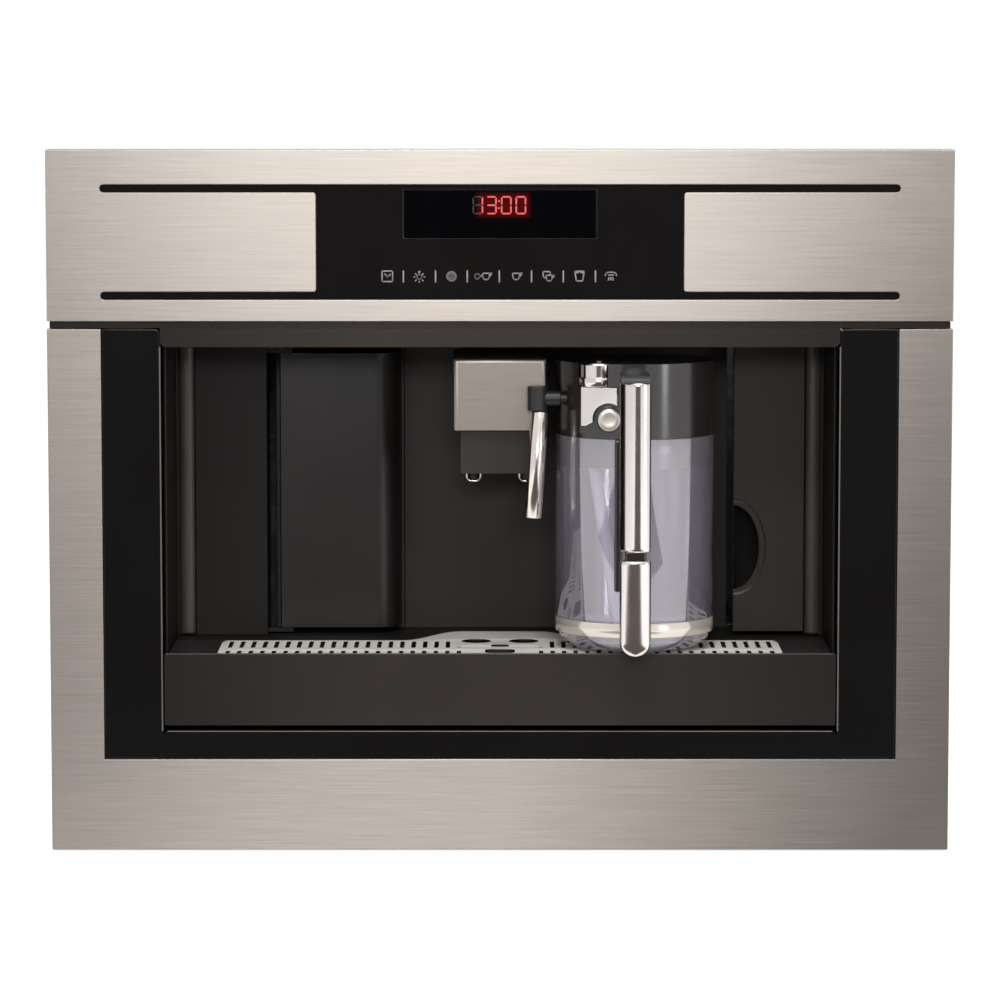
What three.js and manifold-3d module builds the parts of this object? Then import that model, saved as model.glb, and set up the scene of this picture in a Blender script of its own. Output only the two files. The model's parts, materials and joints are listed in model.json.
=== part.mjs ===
// Built in coffee machine on telescopic runners. Millimetres, +Z up, the front faces -Y.
// Inside the machine group, y = 0 is the front face and z = 0 is the front's bottom edge.
import * as THREE from 'three';
import { mergeVertices } from 'three/addons/utils/BufferGeometryUtils.js';
import Module from 'manifold-3d';

const wasm = await Module();
wasm.setup();

// ---------------------------------------------------------------- driving dimensions
const fit = 0.3; // gap between pieces that touch
const run = 0.5; // gap between pieces that slide or turn

// steel front
const frontWidth = 595;
const frontHeight = 464;
const frontDepth = 20;
const frontSheet = 1.5;
const panelHeight = 112.5; // control panel
const panelGap = 5; // dark gap under the control panel
const stileWidth = 35.4; // left and right sides of the U frame
const railHeight = 60.9; // bottom of the U frame
const shelfGap = 1; // from the cabinet floor to the front's bottom edge

// control panel
const slotHeight = 5.1;
const slotAbove = 22.9; // from the upper slot to the panel's top edge
const slotBelow = 14.2; // from the lower slot to the panel's bottom edge
const touchHalf = 120.5; // half the width of the black touch area
const islandRadius = 2;
const glassThickness = 3;
const glassMargin = 6; // how far the glass reaches behind the steel
const windowHalf = 63;
const windowHeight = 31.8;
const windowBelowSlot = 3.3;
const boardDepth = 9; // from the front face to the touch board
const boardThickness = 1.6;
const keyPitch = 20.95;
const keyCount = 8;
const keyHeight = 15.5; // key centres above the lower slot's bottom
const keyShift = 10.6; // the key row starts left of the middle by half its length and this

// black inner front
const pillarWidth = 38.1;
const pillarRadius = 3;
const innerWall = 2.5;
const lintelHeight = 11.7;
const lintelDepth = 24;
const lintelRadius = 4;
const fillerFront = 3;
const fillerRear = 12;
const stripHeight = 18.3;
const stripRadius = 3;

// casing
const casingDepth = 400;
const casingDrop = 24; // from the front's top edge down to the top cover
const sheet = 1.5;
const flangeWidth = 14; // front flange that stops against the cabinet
const panHeight = 5; // base pan floor above the front's bottom edge
const panEdge = 44; // height of the pan's folded edges
const rearVentCount = 7;
const rearVentWidth = 70;
const rearVentHeight = 5;
const rearVentPitch = 12;
const rearVentDrop = 108.5; // from the top cover down to the lowest rear vent
const rearVentLeft = 150;
const rearVentRight = 190;
const topVentCount = 8;
const topVentWidth = 6;
const topVentLength = 120;
const topVentPitch = 18;
const topVentX = 60;
const topVentRear = 100; // from the rear face to the top vents

// runners, heights above the cabinet floor
const runnerAxis = 30;
const runnerSetback = 4; // behind the steel front
const runnerEnd = 10; // from the runners' rear end to the rear face
const runnerInset = 5; // the middle runners end this much earlier
const screwInset = 40;
const ribHeight = 14;
const ribReach = 4.5;
const middleRibHeight = 12;
const middleRibReach = 3.5;
const baseSheet = 1.5;
const screwHole = 5;

// cup space
const wallSheet = 2;
const cavityDepth = 150;
const sideReach = 45; // side bands, left panel and tank front stand before the back wall
const bandWidth = 12.7;
const sidePanelWidth = 48.7;
const sidePanelWall = 2.5;
const backHalfLeft = 66;
const backOverlap = 2.2; // the back wall ends this far behind the tank front's edge

// drip tray
const trayGap = 3.9; // between the strip and the tray front
const trayFrontHeight = 48;
const trayFrontThickness = 3;
const trayWall = 2.2;
const cradleFloor = 2.5;
const basinGap = 1.4; // between the basin's side and the cup space's wall
const rimThickness = 2.3;
const shelfDepth = 9; // of the shallow part under the grid's swell
const tubSlope = 7; // of the tub's ends, above its floor
const rimWidth = 32; // from the grid's end to the basin's side
const gridThickness = 2;
const gridFront = 4.6;
const gridRear = 70;
const gridLedge = 3;
const bulgeReach = 46; // how far the grid's middle runs further back
const bulgeFoot = 66;
const bulgeFlat = 27;
const slotColumns = 21;
const firstColumn = 27.3;
const lastColumn = 6.6; // from the last slots to the grid's end
const slotWidth = 2.8;
const rearSlot = [33.5, 64.5];
const frontSlot = [7, 19];
const drainHoleRadius = 10;
const drainHoleX = 16;
const drainHoleY = 67;
const floatWindow = [9.8, 8, 27]; // half width, front and rear
const floatHeight = 17;
const deckDrop = 1.4; // the rear deck lies this far under the grid

// coffee spout
const spoutHalf = 26.5;
const spoutDrop = 10.8; // from the ceiling to the spout's top
const spoutHeight = 80.1;
const spoutFront = 42;
const spoutWall = 3;
const spoutBlock = 55; // solid front of the spout that carries the nozzles
const coverHalf = 31.6;
const coverFront = 35;
const coverHeight = 47.3;
const coverEnd = 30; // from the cover's rear edge to the back wall
const coverSheet = 1.2;
const nozzleX = 17.7;
const nozzleY = 65;
const nozzleRadius = 5.4;
const nozzleStep = 1.1; // the spigot is this much slimmer
const nozzleRim = 3.5;
const nozzleSpigot = 10;
const nozzleBore = 3;
const guideHalf = 6;
const guideReach = 10;

// milk jug, heights above its base
const jugShare = 0.4795; // place along the grid's right half
const jugY = 43;
const jugRadius = 52.9;
const jugWall = 2.4;
const jugFoot = 38;
const jugRing = [11.1, 20.8];
const ringThickness = 1.8;
const jugTopGap = 10.7; // from the lid's top to the ceiling
const lidHeight = 49.5;
const lidWall = 3;
const skirtDrop = 20;
const skirtWall = 2;
const knobX = -24.9;
const knobY = -37;
const knobRadius = 12;
const knobRing = 1;
const knobRingHeight = 6;
const knobHeight = 15.1;
const knobStem = 3;
const trimAbove = 8; // trim plate's lower edge above the seam
const trimProud = 1.6;
const buttonX = -18.4;
const buttonAbove = 5.1; // button's centre above the trim plate's lower edge
const buttonRadius = 7.5;
const buttonLength = 12;
const buttonTravel = 2.5;
const plugDrop = 24.1; // from the lid's top to the steam connection
const plugRadius = 9;
const bossHalf = 16;
const bossReach = 85;
const bossRoot = 19; // how far the block reaches into the lid
const bossBore = 28;
const nozzleEntry = 24; // how far the steam nozzle goes into the block
const intakeRadius = 4;
const intakeLean = 9.1; // degrees
const handleX = 1.8;
const handleReach = 36; // from the jug's wall to the handle's outer face
const handleDepth = 12;
const upperWidth = 15.7;
const upperBottom = 72.2;
const handleDrop = 5.1; // from the lid's top to the handle's top
const upperArm = 15;
const handlePeg = 5;
const lowerWidth = 18.3;
const lowerBottom = 4.1;
const lowerTop = 66.3;
const lowerWeb = [24, 46];
const milkX = -64.9;
const milkY = -23;
const milkDrop = 24.4; // from the lid's top to the milk spout's axis
const capRadius = 6.8;
const capHeight = 16;
const armRadius = 5;
const tubeRadius = 6;
const tubeLength = 70.8;
const tubeLean = 3.72; // degrees

// service door and brewing parts behind it
const doorGap = 9.2; // between the left panel and the door
const doorRight = -68;
const doorSetback = 10; // the door lies this far behind the side bands
const doorLift = 4.3;
const doorDrop = 12; // from the ceiling to the door's top
const doorSheet = 3;
const doorCorner = 18;
const doorRearGap = 2;
const hingeInset = 3;
const hingeBack = 4.5;
const hingePin = 2.5;
const hingeBarrel = 1.2; // wall of the barrel around the pin
const earThickness = 3;
const housingWall = 3;
const housingDepth = 180;
const housingDrop = 8.5; // from the ceiling to the housing's top
const housingLift = 2; // from the rear deck to the housing's floor
const containerShare = 0.4386; // share of the housing's height
const containerWall = 2.5;
const brewTopGap = 6.7;
const brewDepth = 130;
const brewBase = 5;
const chamberRadius = 24.5;
const chamberBore = 21.5;
const chamberShare = 0.53; // share of the brew unit's height

// water tank
const tankRearGap = 46.8; // from the tank to the rear cover
const tankBayGap = 12; // room for the tank's valve
const tankWall = 2.2;
const tankSide = 1.5; // the tank is this much narrower than its front on each side
const tankSeatLift = 2.3; // from the rear deck to the tank's seat
const tankTopGap = 2.6;
const tankFrontThickness = 5.4;
const recessHalfHeight = 33.3;
const recessReach = 22.3;
const recessBevel = 4.5;
const recessDepth = 22;
const recessAbove = 57.9; // recess centre above the tank's bottom
const spigotRadius = 6;
const spigotAbove = 13.9;

// hopper, grinder and lid
const hopperHalf = 70.4;
const hopperLength = 130;
const hopperDepth = 42;
const hopperWall = 2.5;
const funnelHeight = 22;
const funnelRadius = 58;
const chuteHalf = 22;
const chuteDepth = 22;
const chuteSetback = 2.7; // from the housing's front to the chute
const grinderRadius = 34;
const grinderFoot = 26;
const grinderFootHeight = 20;
const grinderOutlet = 6;
const motorHalf = 24;
const motorStart = 10;
const motorLength = 52;
const motorHeight = 48;
const throatRadius = 16;
const throatDepth = 20;
const lidThickness = 3;
const lidPin = 1.5;
const lidEar = 3.5;
const lidEarHalf = 5;
const lidHingeBack = 4;
const lidHingeUp = 3.6;
const lidTube = 2.5;
const dialX = -8;
const dialRadius = 14;
const dialHeight = 9;

// boiler, pump, power board and inlet
const boilerX = 20;
const boilerBehind = 85; // behind the cup space's back wall
const boilerRadius = 36;
const boilerBottom = 120;
const boilerHeight = 140;
const boilerNeck = 10;
const boilerNeckHeight = 12;
const boilerFoot = 3;
const pumpX = 105;
const pumpRadius = 21;
const pumpLength = 95;
const pumpFoot = 6; // from the pan to the pump
const pumpPort = 6;
const pumpPortLength = 18;
const footHalf = 12;
const footLength = 15;
const boardLeft = 10;
const boardWidth = 130;
const boardHeight = 170;
const boardDrop = 38.5; // from the top cover to the power board
const boardStandoff = 12;
const boardPost = 3;
const inletInset = 61.8; // from the casing's left side to the inlet's middle
const inletZ = 60;
const inletWidth = 56;
const inletHeight = 32;
const inletDepth = 26;
const inletRim = 5;
const inletFlange = 2.2;
const socketShift = 9; // the socket sits this far left of the inlet's middle
const socketHalfWidth = 14;
const socketHalfHeight = 10;
const socketDepth = 18;
const pinPitch = 7;
const pinHalf = 1;
const pinLength = 16;
const rockerWidth = 13;
const rockerHeight = 21;
const rockerPocket = 12;
const rockerInset = 10;
const rockerSink = 6;
const rockerTilt = 8; // degrees

// ---------------------------------------------------------------- derived dimensions
const frontHalf = frontWidth / 2;
const panelBottom = frontHeight - panelHeight;
const frameTop = panelBottom - panelGap;
const openingHalf = frontHalf - stileWidth; // opening of the U frame
const lowerSlot = [panelBottom + slotBelow, panelBottom + slotBelow + slotHeight];
const upperSlot = [frontHeight - slotAbove - slotHeight, frontHeight - slotAbove];
const glassBack = frontSheet + fit + glassThickness;
const windowTop = upperSlot[1] - windowBelowSlot;

const pillarOuter = openingHalf - fit;
const pillarInner = pillarOuter - pillarWidth;
const cavityHalf = pillarInner - fit; // half the width between the pillars
const cavityTop = frameTop - fit - lintelHeight;
const stripBottom = railHeight + fit;
const stripTop = stripBottom + stripHeight;

const casingHalf = openingHalf - fit;
const casingFront = frontDepth + fit;
const casingTop = frontHeight - casingDrop;
const sideInner = casingHalf - sheet;
const rearInner = casingDepth - sheet;
const panTop = panHeight + sheet;
const panOuter = casingHalf + fit + sheet;
const coverTop = casingTop - sheet; // underside of the top cover

const runnerStart = frontDepth + runnerSetback;
const runnerLength = casingDepth - runnerStart - runnerEnd;
const railZ = runnerAxis - shelfGap;
const ribOuter = panOuter + ribReach;
const middleWeb = ribOuter + fit;
const middleOuter = middleWeb + sheet + middleRibReach;
const baseHalf = middleOuter + fit + sheet;

const wallOuter = cavityHalf - run;
const wallInner = wallOuter - wallSheet;
const bandInner = wallInner - bandWidth;
const bandDepth = cavityDepth - sideReach;
const panelOuter = bandInner - fit;
const panelInner = panelOuter - sidePanelWidth;
const backHalfRight = panelInner - backOverlap;

const trayFrontBottom = stripTop + trayGap;
const trayTop = trayFrontBottom + trayFrontHeight;
const gridTop = trayTop - fit - 0.2;
const cradleTop = trayFrontBottom - run - fit;
const basinBottom = cradleTop + fit;
const basinHalf = wallInner - basinGap;
const basinFront = frontSheet - 1 + trayFrontThickness + fit;
const gridHalf = basinHalf - rimWidth;
const slotPitch = (gridHalf - firstColumn - lastColumn) / (slotColumns - 1);
const rimBottom = gridTop - gridThickness - fit;
const deckTop = gridTop - deckDrop;

const spoutTop = cavityTop - spoutDrop;
const spoutBottom = spoutTop - spoutHeight;
const coverBottom = spoutTop - coverHeight;
const coverRear = cavityDepth - coverEnd;

const jugX = jugShare * gridHalf;
const jugBase = trayTop + fit; // clears the tray front when the jug is pulled forward
const lidTop = cavityTop - jugBase - jugTopGap;
const jugSeam = lidTop - lidHeight;
const knobBottom = lidTop - knobHeight;
const trimBottom = jugSeam + trimAbove;
const buttonZ = trimBottom + buttonAbove;
const buttonFront = -jugRadius - trimProud;
const buttonBack = buttonFront + buttonLength;
const plugZ = lidTop - plugDrop;
const upperTop = lidTop - handleDrop;
const milkZ = lidTop - milkDrop;
const steamZ = jugBase + plugZ;

const doorLeft = doorGap - panelInner;
const doorFront = bandDepth + doorSetback;
const doorReturn = cavityDepth - doorRearGap;
const doorBottom = deckTop + doorLift;
const doorTop = cavityTop - doorDrop;
const hingeX = doorLeft + hingeInset;
const hingeY = doorFront + hingeBack;

const housingFront = cavityDepth + fit;
const housingRear = housingFront + housingDepth;
const housingLeft = doorLeft - 5;
const housingTop = cavityTop - housingDrop;
const housingFloor = deckTop + housingLift;
const bayLeft = housingLeft + housingWall;
const bayRight = -backHalfLeft - fit - housingWall;
const containerHeight = containerShare * (housingTop - housingWall - housingFloor);
const brewX = (bayLeft + bayRight) / 2;
const brewBottom = housingFloor + fit + containerHeight + run;
const brewHeight = housingTop - housingWall - brewTopGap - brewBottom;
const brewFront = housingRear - housingWall - fit - brewDepth;
const chamberY = brewFront + brewDepth / 2;
const chamberHeight = chamberShare * brewHeight;

const tankLeft = panelInner + tankSide;
const tankRight = panelOuter - tankSide;
const tankMiddle = (tankLeft + tankRight) / 2;
const tankSeat = deckTop + tankSeatLift;
const tankBottom = tankSeat + fit;
const tankTop = cavityTop - tankTopGap;
const tankFrontBack = bandDepth + tankFrontThickness;
const tankRear = rearInner - tankRearGap;
const recessZ = tankBottom + recessAbove;
const spigotZ = tankBottom + spigotAbove;

const hopperLeft = brewX - hopperHalf;
const hopperRight = brewX + hopperHalf;
const chuteFront = housingFront + chuteSetback;
const hopperFront = chuteFront + chuteDepth;
const hopperRear = hopperFront + hopperLength;
const hopperTop = coverTop - fit;
const hopperBottom = hopperTop - hopperDepth;
const grinderY = (hopperFront + hopperRear) / 2;
const lidHingeY = hopperRear + lidHingeBack;
const lidHingeZ = casingTop + lidHingeUp;
const boilerY = cavityDepth + boilerBehind;
const inletX = inletInset - casingHalf;

// ---------------------------------------------------------------- geometry helpers
const alongZ = new THREE.Matrix4();
const alongY = new THREE.Matrix4().makeBasis(
  new THREE.Vector3(1, 0, 0), new THREE.Vector3(0, 0, 1), new THREE.Vector3(0, -1, 0));
const alongX = new THREE.Matrix4().makeBasis(
  new THREE.Vector3(0, 1, 0), new THREE.Vector3(0, 0, 1), new THREE.Vector3(1, 0, 0));

function solidOf(geometry) {
  geometry.deleteAttribute('normal');
  geometry.deleteAttribute('uv');
  const merged = mergeVertices(geometry);
  const corners = [];
  for (let i = 0; i < merged.index.count; i += 3) {
    const [a, b, c] = [0, 1, 2].map((k) => merged.index.getX(i + k));
    if (a !== b && b !== c && c !== a) corners.push(a, b, c);
  }
  const mesh = new wasm.Mesh({
    numProp: 3,
    vertProperties: merged.attributes.position.array,
    triVerts: Uint32Array.from(corners),
  });
  return new wasm.Manifold(mesh);
}

function box(x0, x1, y0, y1, z0, z1) {
  const geometry = new THREE.BoxGeometry(x1 - x0, y1 - y0, z1 - z0);
  return solidOf(geometry.translate((x0 + x1) / 2, (y0 + y1) / 2, (z0 + z1) / 2));
}

// the same box on the right (side 1) or mirrored to the left (side -1)
function sideBox(side, inner, outer, y0, y1, z0, z1) {
  return side > 0 ? box(inner, outer, y0, y1, z0, z1) : box(-outer, -inner, y0, y1, z0, z1);
}

function extrude(shape, from, to, frame = alongZ, steps = 5) {
  const options = { depth: to - from, bevelEnabled: false, curveSegments: steps };
  const geometry = new THREE.ExtrudeGeometry(shape, options).applyMatrix4(frame);
  const shift = { x: [from, 0, 0], y: [0, to, 0], z: [0, 0, from] };
  const axis = frame === alongZ ? 'z' : frame === alongY ? 'y' : 'x';
  return solidOf(geometry.translate(...shift[axis]));
}

// corner radii: lower left, lower right, upper right, upper left
function rounded(x0, x1, y0, y1, [a, b, c, d]) {
  const shape = new THREE.Shape();
  shape.moveTo(x0 + a, y0);
  shape.lineTo(x1 - b, y0);
  if (b) shape.absarc(x1 - b, y0 + b, b, -Math.PI / 2, 0);
  shape.lineTo(x1, y1 - c);
  if (c) shape.absarc(x1 - c, y1 - c, c, 0, Math.PI / 2);
  shape.lineTo(x0 + d, y1);
  if (d) shape.absarc(x0 + d, y1 - d, d, Math.PI / 2, Math.PI);
  shape.lineTo(x0, y0 + a);
  if (a) shape.absarc(x0 + a, y0 + a, a, Math.PI, 1.5 * Math.PI);
  return shape;
}

function outline(points) {
  return new THREE.Shape(points.map(([x, y]) => new THREE.Vector2(x, y)));
}

// a turned piece: profile of [radius, height] points, standing at x, y
function turned(profile, x, y, z, sides = 28) {
  const points = profile.map(([r, h]) => new THREE.Vector2(r, h));
  const geometry = new THREE.LatheGeometry(points, sides).rotateX(Math.PI / 2);
  return solidOf(geometry.translate(x, y, z));
}

function post(radius, x, y, z0, z1, sides = 20) {
  const geometry = new THREE.CylinderGeometry(radius, radius, z1 - z0, sides).rotateX(Math.PI / 2);
  return solidOf(geometry.translate(x, y, (z0 + z1) / 2));
}

function rodY(radius, x, z, y0, y1, sides = 20) {
  const geometry = new THREE.CylinderGeometry(radius, radius, y1 - y0, sides);
  return solidOf(geometry.translate(x, (y0 + y1) / 2, z));
}

function rodX(radius, y, z, x0, x1, sides = 20) {
  const geometry = new THREE.CylinderGeometry(radius, radius, x1 - x0, sides);
  return solidOf(geometry.rotateZ(Math.PI / 2).translate((x0 + x1) / 2, y, z));
}

const join = (...solids) => solids.reduce((whole, s) => whole.add(s));
const cut = (whole, ...solids) => solids.reduce((left, s) => left.subtract(s), whole);

// a front cover: solid face, folded edges, open towards the back
function cover(x0, x1, z0, z1, y0, y1, wall, radii = [0, 0, 0, 0]) {
  const inner = radii.map((r) => Math.max(r - wall, 0));
  return cut(
    extrude(rounded(x0, x1, z0, z1, radii), y0, y1, alongY),
    extrude(rounded(x0 + wall, x1 - wall, z0 + wall, z1 - wall, inner), y0 + wall, y1 + 1, alongY));
}

// ---------------------------------------------------------------- materials
function finish(color, roughness, metalness, opacity = 1) {
  return { color, roughness, metalness, opacity, transparent: opacity < 1 };
}
const steel = finish(0xb9b1ab, 0.38, 1);
const chrome = finish(0xd6d4d2, 0.12, 1);
const zinc = finish(0x9a9c9c, 0.45, 1);
const gloss = finish(0x141415, 0.08, 0);
const graphite = finish(0x3a3431, 0.35, 0.5);
const darkPlastic = finish(0x26231f, 0.5, 0);
const greyPlastic = finish(0x55504b, 0.5, 0);
const blackPlastic = finish(0x111111, 0.5, 0);
const smoked = finish(0x07070a, 0.05, 0);
const clear = finish(0x9a94ad, 0.08, 0, 0.45);
const cream = finish(0xe4dccf, 0.45, 0);
const whitePlastic = finish(0xdcdcd8, 0.45, 0);
const waterClear = finish(0x8f98a0, 0.08, 0, 0.5);
const boardGreen = finish(0x1f4a33, 0.55, 0);
const redPlastic = finish(0x8c1d18, 0.45, 0);

function piece(parent, name, solid, look) {
  const data = solid.getMesh();
  const geometry = new THREE.BufferGeometry();
  geometry.setAttribute('position', new THREE.BufferAttribute(data.vertProperties, 3));
  geometry.setIndex(new THREE.BufferAttribute(data.triVerts, 1));
  geometry.computeVertexNormals();
  const mesh = new THREE.Mesh(geometry, new THREE.MeshStandardMaterial(look));
  mesh.name = name;
  parent.add(mesh);
  return mesh;
}

// ---------------------------------------------------------------- runners
// plate on the cabinet floor with an outer runner folded up on each side
function cabinetBase() {
  const [y0, y1] = [runnerStart, runnerStart + runnerLength];
  let base = box(-baseHalf, baseHalf, y0, y1, 0, baseSheet);
  const lip = middleRibHeight / 2 + run;
  for (const side of [-1, 1]) {
    base = join(base, sideBox(side, baseHalf - sheet, baseHalf, y0, y1, 0, runnerAxis + lip + sheet));
    for (const up of [-1, 1]) {
      const z = runnerAxis + up * (lip + sheet / 2);
      const inner = middleWeb + sheet + run;
      base = join(base, sideBox(side, inner, baseHalf, y0, y1, z - sheet / 2, z + sheet / 2));
    }
    for (const y of [y0 + screwInset, y1 - screwInset]) {
      base = cut(base, post(screwHole / 2, side * (baseHalf - screwInset), y, -1, baseSheet + 1, 12));
    }
  }
  return base;
}

// middle runner: a channel over the pan's rib and a rib into the outer runner
function runnerMiddle(side) {
  const [y0, y1] = [runnerStart + runnerInset, runnerStart + runnerLength - runnerInset];
  const lip = ribHeight / 2 + run;
  const edge = lip + sheet;
  const outer = middleWeb + sheet;
  let runner = sideBox(side, middleWeb, outer, y0, y1, runnerAxis - edge, runnerAxis + edge);
  for (const up of [-1, 1]) {
    const z = runnerAxis + up * (lip + sheet / 2);
    const lipBox = sideBox(side, panOuter + run, outer, y0, y1, z - sheet / 2, z + sheet / 2);
    runner = join(runner, lipBox);
  }
  const rib = middleRibHeight / 2;
  return join(runner, sideBox(side, middleWeb, middleOuter, y0, y1, runnerAxis - rib, runnerAxis + rib));
}

// ---------------------------------------------------------------- casing
function basePan() {
  const [y0, y1] = [runnerStart, casingDepth];
  const rib = ribHeight / 2;
  let pan = box(-panOuter, panOuter, casingFront, y1, panHeight, panTop);
  for (const side of [-1, 1]) {
    const inner = panOuter - sheet;
    pan = join(pan, sideBox(side, inner, panOuter, y0, y1, panHeight, panHeight + panEdge));
    pan = join(pan, sideBox(side, inner, ribOuter, y0, y0 + runnerLength, railZ - rib, railZ + rib));
  }
  return pan;
}

function sideWall(side) {
  const points = [
    [sideInner, casingFront], [casingHalf + flangeWidth, casingFront],
    [casingHalf + flangeWidth, casingFront + sheet], [casingHalf, casingFront + sheet],
    [casingHalf, rearInner - fit], [sideInner, rearInner - fit]];
  return extrude(outline(points.map(([x, y]) => [side * x, y])), panTop + fit, coverTop - fit);
}

function rearCover() {
  const y = [rearInner - 1, casingDepth + 1];
  const [w, h] = [inletWidth / 2, inletHeight / 2];
  let back = cut(
    box(-casingHalf, casingHalf, rearInner, casingDepth, panTop + fit, coverTop - fit),
    box(inletX - w, inletX + w, ...y, inletZ - h, inletZ + h));
  for (const x of [-rearVentLeft, rearVentRight]) {
    for (let i = 0; i < rearVentCount; i += 1) {
      const z = coverTop - rearVentDrop + i * rearVentPitch;
      const half = rearVentWidth / 2;
      back = cut(back, box(x - half, x + half, ...y, z, z + rearVentHeight));
    }
  }
  return back;
}

function topCover() {
  const margin = 2.6;
  const z = [coverTop - 1, casingTop + 1];
  let top = cut(
    box(-casingHalf, casingHalf, casingFront, casingDepth, coverTop, casingTop),
    box(hopperLeft + margin, hopperRight - margin, chuteFront + margin, hopperRear - margin, ...z),
    post(dialRadius / 3 + run, dialX, grinderY, ...z));
  for (let i = 0; i < topVentCount; i += 1) {
    const x = topVentX + i * topVentPitch;
    const rear = casingDepth - topVentRear;
    top = cut(top, box(x, x + topVentWidth, rear - topVentLength, rear, ...z));
  }
  for (const [x0, x1] of lidEars()) {
    const ear = cut(
      box(x0, x1, lidHingeY - lidEarHalf, lidHingeY + lidEarHalf, coverTop, lidHingeZ + lidEarHalf - 1),
      rodX(lidPin + fit, lidHingeY, lidHingeZ, x0 - 1, x1 + 1, 16));
    top = join(top, ear);
  }
  return top;
}

// ---------------------------------------------------------------- steel front
function frontFrame() {
  const inner = openingHalf + frontSheet;
  const outer = frontHalf - frontSheet;
  const y = [frontSheet, frontDepth + 1];
  return cut(
    box(-frontHalf, frontHalf, 0, frontDepth, 0, frameTop),
    box(-openingHalf, openingHalf, -1, frontDepth + 1, railHeight, frameTop + 1),
    box(-outer, -inner, ...y, frontSheet, frameTop - frontSheet),
    box(inner, outer, ...y, frontSheet, frameTop - frontSheet),
    box(-outer, outer, ...y, frontSheet, railHeight - frontSheet));
}

// two long slots joined by the wide opening of the touch area
function panelOpening() {
  const r = slotHeight / 2;
  const end = openingHalf - r;
  const q = islandRadius;
  const [low, high] = [lowerSlot[1], upperSlot[0]];
  const shape = new THREE.Shape();
  shape.moveTo(-end, lowerSlot[0]);
  shape.lineTo(end, lowerSlot[0]);
  shape.absarc(end, lowerSlot[0] + r, r, -Math.PI / 2, Math.PI / 2);
  shape.lineTo(touchHalf + q, low);
  shape.absarc(touchHalf + q, low + q, q, 1.5 * Math.PI, Math.PI, true);
  shape.lineTo(touchHalf, high - q);
  shape.absarc(touchHalf + q, high - q, q, Math.PI, Math.PI / 2, true);
  shape.lineTo(end, high);
  shape.absarc(end, high + r, r, -Math.PI / 2, Math.PI / 2);
  shape.lineTo(-end, upperSlot[1]);
  shape.absarc(-end, high + r, r, Math.PI / 2, 1.5 * Math.PI);
  shape.lineTo(-touchHalf - q, high);
  shape.absarc(-touchHalf - q, high - q, q, Math.PI / 2, 0, true);
  shape.lineTo(-touchHalf, low + q);
  shape.absarc(-touchHalf - q, low + q, q, 0, -Math.PI / 2, true);
  shape.lineTo(-end, low);
  shape.absarc(-end, lowerSlot[0] + r, r, Math.PI / 2, 1.5 * Math.PI);
  return shape;
}

function controlFascia() {
  return cut(
    cover(-frontHalf, frontHalf, panelBottom, frontHeight, 0, frontDepth, frontSheet),
    extrude(panelOpening(), -1, frontSheet + 1, alongY));
}

function controlGlass() {
  const half = openingHalf + glassMargin;
  const z = [lowerSlot[0] - glassMargin, upperSlot[1] + glassMargin];
  const hole = [windowTop - windowHeight - fit, windowTop + fit];
  return cut(
    box(-half, half, frontSheet + fit, glassBack, ...z),
    box(-windowHalf - fit, windowHalf + fit, 0, glassBack + 1, ...hole));
}

function displayWindow() {
  return box(-windowHalf, windowHalf, frontSheet + fit, glassBack, windowTop - windowHeight, windowTop);
}

// circuit board with the display block, a sensor behind each touch key and four posts
function controlBoard() {
  const touch = glassBack + fit;
  const z = [lowerSlot[0] - 2, upperSlot[1] + 1];
  const display = windowHalf - 3;
  let board = join(
    box(-touchHalf, touchHalf, boardDepth, boardDepth + boardThickness, ...z),
    box(-display, display, touch, boardDepth + 1, windowTop - windowHeight + 2, windowTop - 2));
  for (let i = 0; i < keyCount; i += 1) {
    const x = (i - (keyCount - 1) / 2) * keyPitch - keyShift + keyPitch / 2;
    board = join(board, rodY(5, x, lowerSlot[0] + keyHeight, touch, boardDepth + 1, 12));
  }
  for (const x of [-touchHalf + 6, touchHalf - 6]) {
    for (const h of [z[0] + 6, z[1] - 6]) board = join(board, rodY(3, x, h, touch, boardDepth + 1, 8));
  }
  return board;
}

// ---------------------------------------------------------------- black inner front
function pillar(side) {
  const [x0, x1] = side > 0 ? [pillarInner, pillarOuter] : [-pillarOuter, -pillarInner];
  const radii = side > 0 ? [0, 0, 0, pillarRadius] : [0, 0, pillarRadius, 0];
  return cover(x0, x1, stripBottom, frameTop - fit, 1, frontDepth, innerWall, radii);
}

// bar over the cup space, with a filler that closes the gap under the control panel
function lintelBar() {
  const r = lintelRadius;
  const top = frameTop - fit;
  const bar = cover(-cavityHalf, cavityHalf, cavityTop, top, 0.5, lintelDepth, innerWall, [r, r, 0, 0]);
  const neck = box(-cavityHalf, cavityHalf, fillerFront, fillerRear, top - 1, frameTop + fit + 1);
  const end = frontHalf - frontSheet;
  return join(bar, neck, box(-end, end, fillerFront, fillerRear, frameTop + fit, panelBottom - fit));
}

function lowerStrip() {
  const r = stripRadius;
  return cover(-cavityHalf, cavityHalf, stripBottom, stripTop, 1, frontDepth, innerWall, [0, 0, r, r]);
}

// ---------------------------------------------------------------- cup space
// side wall with a band that turns inwards beside the side panel
function cavityWall(side) {
  const points = [
    [wallInner, casingFront], [wallOuter, casingFront], [wallOuter, cavityDepth - fit],
    [wallInner, cavityDepth - fit], [wallInner, bandDepth + wallSheet],
    [bandInner, bandDepth + wallSheet], [bandInner, bandDepth], [wallInner, bandDepth]];
  const plan = outline(points.map(([x, y]) => [side * x, y]));
  return cut(
    extrude(plan, stripTop + fit, cavityTop - fit),
    sideBox(side, bandInner - 1, wallInner, bandDepth - 1, cavityDepth, 0, deckTop + fit));
}

function cavityCeiling() {
  return box(-wallOuter, wallOuter, lintelDepth + fit, cavityDepth - fit, cavityTop, cavityTop + wallSheet);
}

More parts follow.
